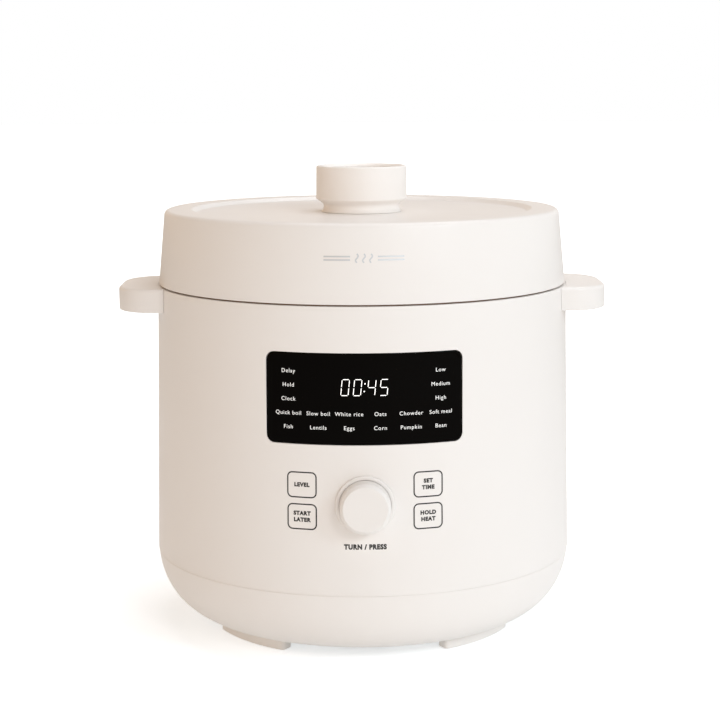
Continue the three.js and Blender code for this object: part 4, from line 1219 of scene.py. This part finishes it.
class COOKER_OT_rings(bpy.types.Operator):
    """Collar, liner with lugs, lock ring with lugs and the sealing ring, all turned"""

    bl_idname = "cooker.rings"
    bl_label = "Collar, liner and rings"

    def execute(self, context):
        turns = context.scene.cooker_sizes.turns
        low, high = span("top_collar")
        body_top = span("body_shell")[1][2]
        liner_low, liner_high = span("outer_pot")
        hoop_low, hoop_high = span("lock_ring")
        seal_low, seal_high = span("sealing_ring")
        hoop_out, hoop_in = hoop_high[0], hoop_high[0] - HOOP_WALL
        lug_in = hoop_in - LUG_DEPTH
        flange = lug_in - FLANGE_GAP
        liner = flange - FLANGE_WIDTH
        flange_low = liner_high[2] - 1.5 * MM
        gutter_in, gutter_out = liner + 1.5 * MM, hoop_out + 0.7 * MM
        gutter_floor = hoop_low[2] - 3 * MM
        edge = 0.3 * MM
        skin = Skin()
        add_revolved(skin, [
            (gutter_in, low[2], edge), (high[0], low[2], edge), (high[0], body_top - FIT, edge),
            (high[0] - 0.45 * MM, body_top - FIT), (high[0] - 0.45 * MM, high[2], 0.6 * MM),
            (gutter_out, high[2], 0.6 * MM), (gutter_out, gutter_floor, 0.8 * MM),
            (gutter_in + 2 * MM, gutter_floor, 0.8 * MM), (gutter_in + 2 * MM, flange_low - FIT, edge),
            (gutter_in, flange_low - FIT, edge),
        ], turns)
        # The collar's taupe shows through the lid seam as that seam's painted shade.
        make(skin, "gutter_collar", "taupe", "cooker_base", ["top_collar"])

        skin = Skin()
        floor, sensor_hole = liner_low[2], 7 * MM
        add_revolved(skin, [
            (sensor_hole, floor), (liner - 1 * MM, floor, 8 * MM), (liner, floor + 8 * MM),
            (liner, flange_low), (flange, flange_low, edge), (flange, liner_high[2], edge),
            (liner - 1 * MM, liner_high[2], 0.5 * MM), (liner - 1 * MM, floor + 8 * MM),
            (liner - 2 * MM, floor + 1 * MM, 8 * MM), (sensor_hole, floor + 1 * MM),
        ], turns)
        add_lugs(skin, flange - 2 * MM, hoop_in - FLANGE_GAP, flange_low, liner_high[2], 30)
        make(skin, "liner_pot", "aluminium", "cooker_base", ["outer_pot"])

        skin = Skin()
        seal_in = seal_high[0] - SEAL_WIDTH
        add_revolved(skin, [
            (hoop_in, hoop_low[2], edge), (hoop_out, hoop_low[2], edge), (hoop_out, hoop_high[2], 1.2 * MM),
            (seal_in, hoop_high[2], edge), (seal_in, hoop_high[2] - HOOP_WALL, edge),
            (hoop_in, hoop_high[2] - HOOP_WALL, 0.6 * MM),
        ], turns)
        add_lugs(skin, lug_in, hoop_in + 0.6 * MM, hoop_low[2], hoop_low[2] + 2.2 * MM, 0)
        make(skin, "lugged_hoop", "steel", "lid_lock", ["lock_ring"])

        skin = Skin()
        outer, groove = seal_high[0], seal_in + 3.5 * MM
        lip_low, lip_high = seal_low[2] + 2.4 * MM, seal_high[2] - 2.4 * MM
        add_revolved(skin, [
            (seal_in, seal_low[2], 0.5 * MM), (outer, seal_low[2], 1 * MM), (outer, seal_high[2], 1 * MM),
            (seal_in, seal_high[2], 0.5 * MM), (seal_in, lip_high, 0.6 * MM), (groove, lip_high, 0.8 * MM),
            (groove, lip_low, 0.8 * MM), (seal_in, lip_low, 0.6 * MM),
        ], turns)
        make(skin, "seal_lip", "silicone", "lid", ["sealing_ring"])
        return {"FINISHED"}


class COOKER_OT_pot(bpy.types.Operator):
    """Inner pot with rolled rim and round bottom corner, the heating plate and the sensor cap"""

    bl_idname = "cooker.pot"
    bl_label = "Pot and plates"

    def execute(self, context):
        turns = context.scene.cooker_sizes.turns
        low, high = span("inner_pot")
        rim = span("sealing_ring")[1][0]
        outer = span("lock_ring")[1][0] - HOOP_WALL - LUG_DEPTH - FLANGE_GAP - FLANGE_WIDTH - POT_GAP
        wall, floor, rim_low = 1.5 * MM, low[2] + 2 * MM, high[2] - 2 * MM
        skin = Skin()
        add_revolved(skin, [
            (0.0, low[2]), (outer, low[2], 14 * MM), (outer, rim_low, 0.8 * MM), (rim, rim_low, 0.9 * MM),
            (rim, high[2], 0.9 * MM), (outer - wall, high[2], 1.2 * MM),
            (outer - wall, floor, 12.5 * MM), (0.0, floor),
        ], turns, closed=False, steps=12)
        make(skin, "cooking_pot", "coated", "pot", ["inner_pot"])

        plate_low, plate_high = span("heating_plate")
        skin = Skin()
        hole, edge_r, under, face = 15 * MM, plate_high[0], plate_low[2], plate_high[2]
        grooves = [(hole, under), (edge_r, under, 1 * MM), (edge_r, face, 1.5 * MM)]
        for r in np.arange(85, 20, -10) * MM:
            grooves += [(r + 1 * MM, face, 0.2 * MM), (r, face - 0.8 * MM, 0.3 * MM),
                        (r - 1 * MM, face, 0.2 * MM)]
        grooves.append((hole, face, 0.8 * MM))
        add_revolved(skin, grooves, 128, steps=3)
        make(skin, "heater_disc", "aluminium", "cooker_base", ["heating_plate"])

        sensor_low, sensor_high = span("sensor_cup")
        skin = Skin()
        r, top = sensor_high[0], sensor_high[2]
        add_revolved(skin, [
            (0.0, sensor_low[2]), (4 * MM, sensor_low[2], 0.3 * MM), (4 * MM, top - 2 * MM),
            (r - 2 * MM, top - 2 * MM), (r - 2 * MM, top - 8 * MM), (r, top - 8 * MM, 0.3 * MM),
            (r, top, 1.2 * MM), (0.0, top),
        ], 64, closed=False)
        make(skin, "sensor_cap", "aluminium", "sensor", ["sensor_cup"])
        return {"FINISHED"}


def add_coil(skin, radius, wire, low, high, turns):
    """Coil spring: a round wire carried along a helix whose first and last half turns lie flat.
    A point is ((radius + wire cos p) cos u, (radius + wire cos p) sin u, rise(u) + wire sin p)."""
    u = np.linspace(0, 2 * math.pi * turns, 40 * turns + 1)
    p = np.linspace(0, 2 * math.pi, 12, endpoint=False)
    share = np.clip((u - math.pi) / (u[-1] - 2 * math.pi), 0, 1)
    rise = low + wire + (high - low - 2 * wire) * share
    U, P = np.meshgrid(u, p, indexing="ij")
    r = radius + wire * np.cos(P)
    numbers = skin.place(np.stack([r * np.cos(U), r * np.sin(U), rise[:, None] + wire * np.sin(P)], -1))
    skin.join(numbers, around=True)
    skin.polygons += [tuple(int(n) for n in numbers[k]) for k in (0, -1)]


class COOKER_OT_springs(bpy.types.Operator):
    """Sensor spring and button spring: wire coils"""

    bl_idname = "cooker.springs"
    bl_label = "Springs"

    def execute(self, context):
        for node, name, body, joint, wire, turns in (
            ("sensor_spring", "sensor_coil", "cooker_base", "sensor_press", 0.6 * MM, 4),
            ("button_spring", "button_coil", "lid", "release_press", 0.4 * MM, 5),
        ):
            low, high = span(node)
            skin = Skin()
            add_coil(skin, high[0] - wire, wire, low[2], high[2], turns)
            coil = make(skin, name, "steel", body, [node])
            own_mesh(coil)
        return {"FINISHED"}


class COOKER_OT_lid_plate(bpy.types.Operator):
    """Dished steel plate under the lid, with holes for the stem, the nozzle and the float pin"""

    bl_idname = "cooker.lid_plate"
    bl_label = "Lid plate"

    def execute(self, context):
        high = span("pressure_plate")[1]
        seal_out = span("sealing_ring")[1][0]
        dish_r = seal_out - SEAL_WIDTH - 5.5 * MM
        flange = seal_out + 1 * MM
        wall = 1.7 * MM
        dish_top = high[2] - 4.3 * MM
        r = np.linspace(5.7 * MM, dish_r, 24)
        dome = np.stack([r, dish_top + 3 * MM * (1 - (r / dish_r) ** 2)], 1)
        t = np.linspace(0, 1, 9)[1:, None]
        ease = t * t * (3 - 2 * t)
        step = dome[-1] + np.concatenate([2.5 * MM * t, (high[2] - dome[-1, 1]) * ease], 1)
        rim = np.array([[flange - 0.3 * MM, high[2]], [flange, high[2] - 0.3 * MM]])
        outer = np.concatenate([dome, step, rim])
        inner = outer - [0, wall]
        inner[-1, 1] = high[2] - wall + 0.3 * MM
        openings = []
        for node, radius in (("limiter_nozzle", 4.3 * MM), ("float_pin", 3.3 * MM)):
            a, b = span(node)
            openings.append(round_hole(*((a + b) / 2)[:2], radius))
        skin = Skin()
        add_pierced_shell(skin, outer, inner, openings, context.scene.cooker_sizes.turns)
        make(skin, "dished_plate", "steel", "lid", ["pressure_plate"])
        return {"FINISHED"}


# Back -------------------------------------------------------------------------------------------
class COOKER_OT_cup(bpy.types.Operator):
    """Condensate cup: an open rounded box with a rolled lip"""

    bl_idname = "cooker.cup"
    bl_label = "Condensate cup"

    def execute(self, context):
        low, high = span("condensate_cup")
        half_a, half_b = high[0], (high[1] - low[1]) / 2
        middle = (high[1] + low[1]) / 2
        wall, corner, foot, lip, top = 1.5 * MM, 4 * MM, 1.2 * MM, 0.4 * MM, high[2]

        def place(a, b, z):
            return np.stack([a, middle + b, z], -1)

        roll = np.linspace(0, math.pi / 2, 5)
        shapes = [(foot * (1 - math.sin(a)), low[2] + foot * (1 - math.cos(a))) for a in roll]
        shapes += [(0.0, top - lip), (lip, top), (wall - lip, top), (wall, top - lip)]
        shapes += [(wall, low[2] + wall + 1 * MM), (wall + 1 * MM, low[2] + wall)]
        loops = [rounded_loop(half_a - i, half_b - i, max(corner - i, 0.8 * MM), 8, 4) for i, _ in shapes]
        skin = Skin()
        add_stack(skin, loops, [z for _, z in shapes], place, rings=6)
        make(skin, "drip_cup", "smoky", "cup", ["condensate_cup"])
        return {"FINISHED"}


# Frame nodes that stay, by finish.
CARRIED = {
    "dark": ["drain_spout", "power_inlet", "power_relay", "pressure_switch", "led_module", "valve_guide"],
    "cream": ["cup_bracket"],
    "panel": ["filter_capacitor"],
    "steel": ["base_screw_1", "base_screw_2", "base_screw_3", "base_screw_4", "plate_support",
              "encoder_body", "encoder_shaft", "seal_retainer", "limiter_nozzle", "limiter_weight",
              "limiter_guard", "float_pin", "lock_spider", "release_valve"],
    "aluminium": ["heat_sink"],
    "coated": ["heating_element"],
    "pad": ["touch_pad_left_upper", "touch_pad_left_lower", "touch_pad_right_upper", "touch_pad_right_lower"],
    "silicone": ["float_cap"],
    "board": ["power_board", "display_board", "touch_board"],
    "brass": ["thermal_fuse", "encoder_rotor"],
}


class COOKER_OT_carried_finishes(bpy.types.Operator):
    """Gives each frame node that stays visible its finish"""

    bl_idname = "cooker.carried_finishes"
    bl_label = "Finishes of carried pieces"

    def execute(self, context):
        for finish, names in CARRIED.items():
            for name in names:
                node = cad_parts[name]
                if not node.material_slots:
                    node.data.materials.append(None)
                for slot in node.material_slots:
                    slot.material = finishes()[finish]
        return {"FINISHED"}


# Stage ------------------------------------------------------------------------------------------
CAMERA_LENS = 89.8
CAMERA_PLACE = (-0.0118, -1.184, 0.3612)
CAMERA_TARGET = (-0.0015, 0.0, 0.172)
CAMERA_ROLL = -0.29
SEEN_GLOW = 0.3  # light of the floor near the object, for the camera only
FLOOR_GLOW = 0.19
FADE = (0.13, 0.6)  # distances from the axis between which the floor's light grows to its full strength
FLOOR_LIGHT = (0.94, 0.98, 1)
WORLD_TOP = (0.0, 0.0, 0.0)
WORLD_LEFT = (1.03, 0.75, 0.5)
WORLD_RIGHT = (1.04, 1.02, 1.0)
LIGHTS = [  # name, place, size, power in watts, colour
    ("key", (1.5, -1.5, 1.1), (0.45, 0.45), 9.0, (0.7, 0.88, 1.0)),
    ("side", (1.0, -2.2, 1.3), (0.5, 0.5), 9.0, (1.0, 0.98, 0.98)),
    ("front", (0.2, -2.4, 1.2), (2.0, 1.2), 6.0, (0.75, 0.85, 1.0)),
    ("top", (0.3, 0.2, 1.9), (1.6, 1.6), 19.0, (0.97, 0.97, 1.0)),
]


class COOKER_OT_stage(bpy.types.Operator):
    """Pale floor, soft studio light and the camera"""

    bl_idname = "cooker.stage"
    bl_label = "Stage"

    def execute(self, context):
        scene = context.scene
        scene.view_settings.view_transform = "Standard"
        self.floor(scene)
        self.world(scene)
        self.lights(scene)
        self.camera(scene)
        return {"FINISHED"}

    def floor(self, scene):
        """Disc of floor with a little light of its own, so that it stays pale."""
        r = np.concatenate([[0.0], np.geomspace(0.3, 12.0, 24)])
        grid = turn_profile(np.stack([r, np.full(len(r), -0.0002)], 1), 96)
        skin = Skin()
        skin.join(skin.place(grid), around=True)
        points = np.concatenate(skin.points)
        mesh = bpy.data.meshes.new("floor")
        mesh.from_pydata(points, [], [q for block in skin.quads for q in block.tolist()])
        material, tree, shader, place = start_material("pale floor")
        tint = two_tone(tree, noise(tree, place, 3.0), (0.86, 0.86, 0.86), (0.88, 0.88, 0.88))
        tree.links.new(tint, shader.inputs["Base Color"])
        shader.inputs["Roughness"].default_value = 0.9
        shader.inputs["Specular IOR Level"].default_value = 0.1
        shader.inputs["Emission Color"].default_value = (*FLOOR_LIGHT, 1)
        away = tree.nodes.new("ShaderNodeVectorMath")
        away.operation = "LENGTH"
        tree.links.new(place, away.inputs[0])
        fade = tree.nodes.new("ShaderNodeMapRange")
        fade.inputs["From Min"].default_value, fade.inputs["From Max"].default_value = FADE
        fade.inputs["To Min"].default_value = SEEN_GLOW
        fade.inputs["To Max"].default_value = 1.0
        tree.links.new(away.outputs["Value"], fade.inputs["Value"])
        rays = tree.nodes.new("ShaderNodeLightPath")
        glow = tree.nodes.new("ShaderNodeMath")
        glow.operation = "MULTIPLY_ADD"
        glow.inputs[2].default_value = FLOOR_GLOW
        tree.links.new(rays.outputs["Is Camera Ray"], glow.inputs[0])
        tree.links.new(fade.outputs["Result"], glow.inputs[1])
        tree.links.new(glow.outputs["Value"], shader.inputs["Emission Strength"])
        mesh.materials.append(material)
        floor = bpy.data.objects.new("floor", mesh)
        scene.collection.objects.link(floor)

    def world(self, scene):
        """Soft surroundings, warmer at the left and dark above, which the camera sees as plain white."""
        world = bpy.data.worlds.new("studio")
        scene.world = world
        world.use_nodes = True
        tree = world.node_tree
        back = tree.nodes["Background"]
        way = tree.nodes.new("ShaderNodeTexCoord")
        split = tree.nodes.new("ShaderNodeSeparateXYZ")
        tree.links.new(way.outputs["Generated"], split.inputs["Vector"])
        side = tree.nodes.new("ShaderNodeMapRange")
        side.inputs["From Min"].default_value = -0.8
        side.inputs["From Max"].default_value = 0.7
        tree.links.new(split.outputs["X"], side.inputs["Value"])
        mix = tree.nodes.new("ShaderNodeMix")
        mix.data_type = "RGBA"
        mix.inputs[6].default_value = (*WORLD_LEFT, 1)
        mix.inputs[7].default_value = (*WORLD_RIGHT, 1)
        tree.links.new(side.outputs["Result"], mix.inputs[0])
        above = tree.nodes.new("ShaderNodeMix")
        above.data_type = "RGBA"
        above.inputs[7].default_value = (*WORLD_TOP, 1)
        tree.links.new(split.outputs["Z"], above.inputs[0])
        tree.links.new(mix.outputs[2], above.inputs[6])
        seen = tree.nodes.new("ShaderNodeLightPath")
        choose = tree.nodes.new("ShaderNodeMix")
        choose.data_type = "RGBA"
        choose.inputs[7].default_value = (1, 1, 1, 1)
        tree.links.new(seen.outputs["Is Camera Ray"], choose.inputs[0])
        tree.links.new(above.outputs[2], choose.inputs[6])
        tree.links.new(choose.outputs[2], back.inputs["Color"])
        back.inputs["Strength"].default_value = 1.0

    def lights(self, scene):
        """Soft boxes that face the middle of the object."""
        target = Vector((0, 0, 0.15))
        for name, place, size, power, colour in LIGHTS:
            light = bpy.data.lights.new(name, "AREA")
            light.shape = "RECTANGLE"
            light.size, light.size_y = size
            light.energy = power
            light.color = colour
            lamp = bpy.data.objects.new(name, light)
            scene.collection.objects.link(lamp)
            way = target - Vector(place)
            lamp.matrix_world = Matrix.Translation(place) @ way.to_track_quat("-Z", "Y").to_matrix().to_4x4()

    def camera(self, scene):
        """Camera slightly above the lid, with a small roll."""
        data = bpy.data.cameras.new("camera")
        data.lens = CAMERA_LENS
        data.sensor_width = 36.0
        data.clip_end = 50.0
        camera = bpy.data.objects.new("camera", data)
        scene.collection.objects.link(camera)
        place = Vector(CAMERA_PLACE)
        way = Vector(CAMERA_TARGET) - place
        roll = Matrix.Rotation(math.radians(CAMERA_ROLL), 4, "Z")
        turn = way.to_track_quat("-Z", "Y").to_matrix().to_4x4() @ roll
        camera.matrix_world = Matrix.Translation(place) @ turn
        scene.camera = camera


OPERATORS = (
    COOKER_OT_body_wall, COOKER_OT_base_shell, COOKER_OT_feet, COOKER_OT_handles, COOKER_OT_window,
    COOKER_OT_panel_words, COOKER_OT_time_digits, COOKER_OT_touch_keys, COOKER_OT_dial, COOKER_OT_lid_shell,
    COOKER_OT_emblem, COOKER_OT_knob, COOKER_OT_rings, COOKER_OT_pot, COOKER_OT_springs, COOKER_OT_lid_plate,
    COOKER_OT_cup, COOKER_OT_carried_finishes, COOKER_OT_stage,
)


class COOKER_PT_pieces(bpy.types.Panel):
    """Buttons for each piece and the sizes they use"""

    bl_label = "Pressure cooker"
    bl_idname = "COOKER_PT_pieces"
    bl_space_type = "VIEW_3D"
    bl_region_type = "UI"
    bl_category = "Cooker"

    def draw(self, context):
        layout = self.layout
        for settings in (context.scene.cooker_sizes, context.scene.cooker_colours):
            box = layout.box()
            for name in settings.__annotations__:
                box.prop(settings, name)
        for operator in OPERATORS:
            layout.operator(operator.bl_idname)


CLASSES = (CookerSizes, CookerColours, *OPERATORS, COOKER_PT_pieces)


def register():
    """Registers the classes and hangs the two groups of settings on the scene."""
    for cls in CLASSES:
        bpy.utils.register_class(cls)
    bpy.types.Scene.cooker_sizes = bpy.props.PointerProperty(type=CookerSizes)
    bpy.types.Scene.cooker_colours = bpy.props.PointerProperty(type=CookerColours)


def unregister():
    """Takes back what register did."""
    del bpy.types.Scene.cooker_colours
    del bpy.types.Scene.cooker_sizes
    for cls in reversed(CLASSES):
        bpy.utils.unregister_class(cls)


def main():
    """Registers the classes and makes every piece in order."""
    register()
    for operator in OPERATORS:
        group, name = operator.bl_idname.split(".")
        getattr(getattr(bpy.ops, group), name)()


if __name__ == "__main__":
    main()
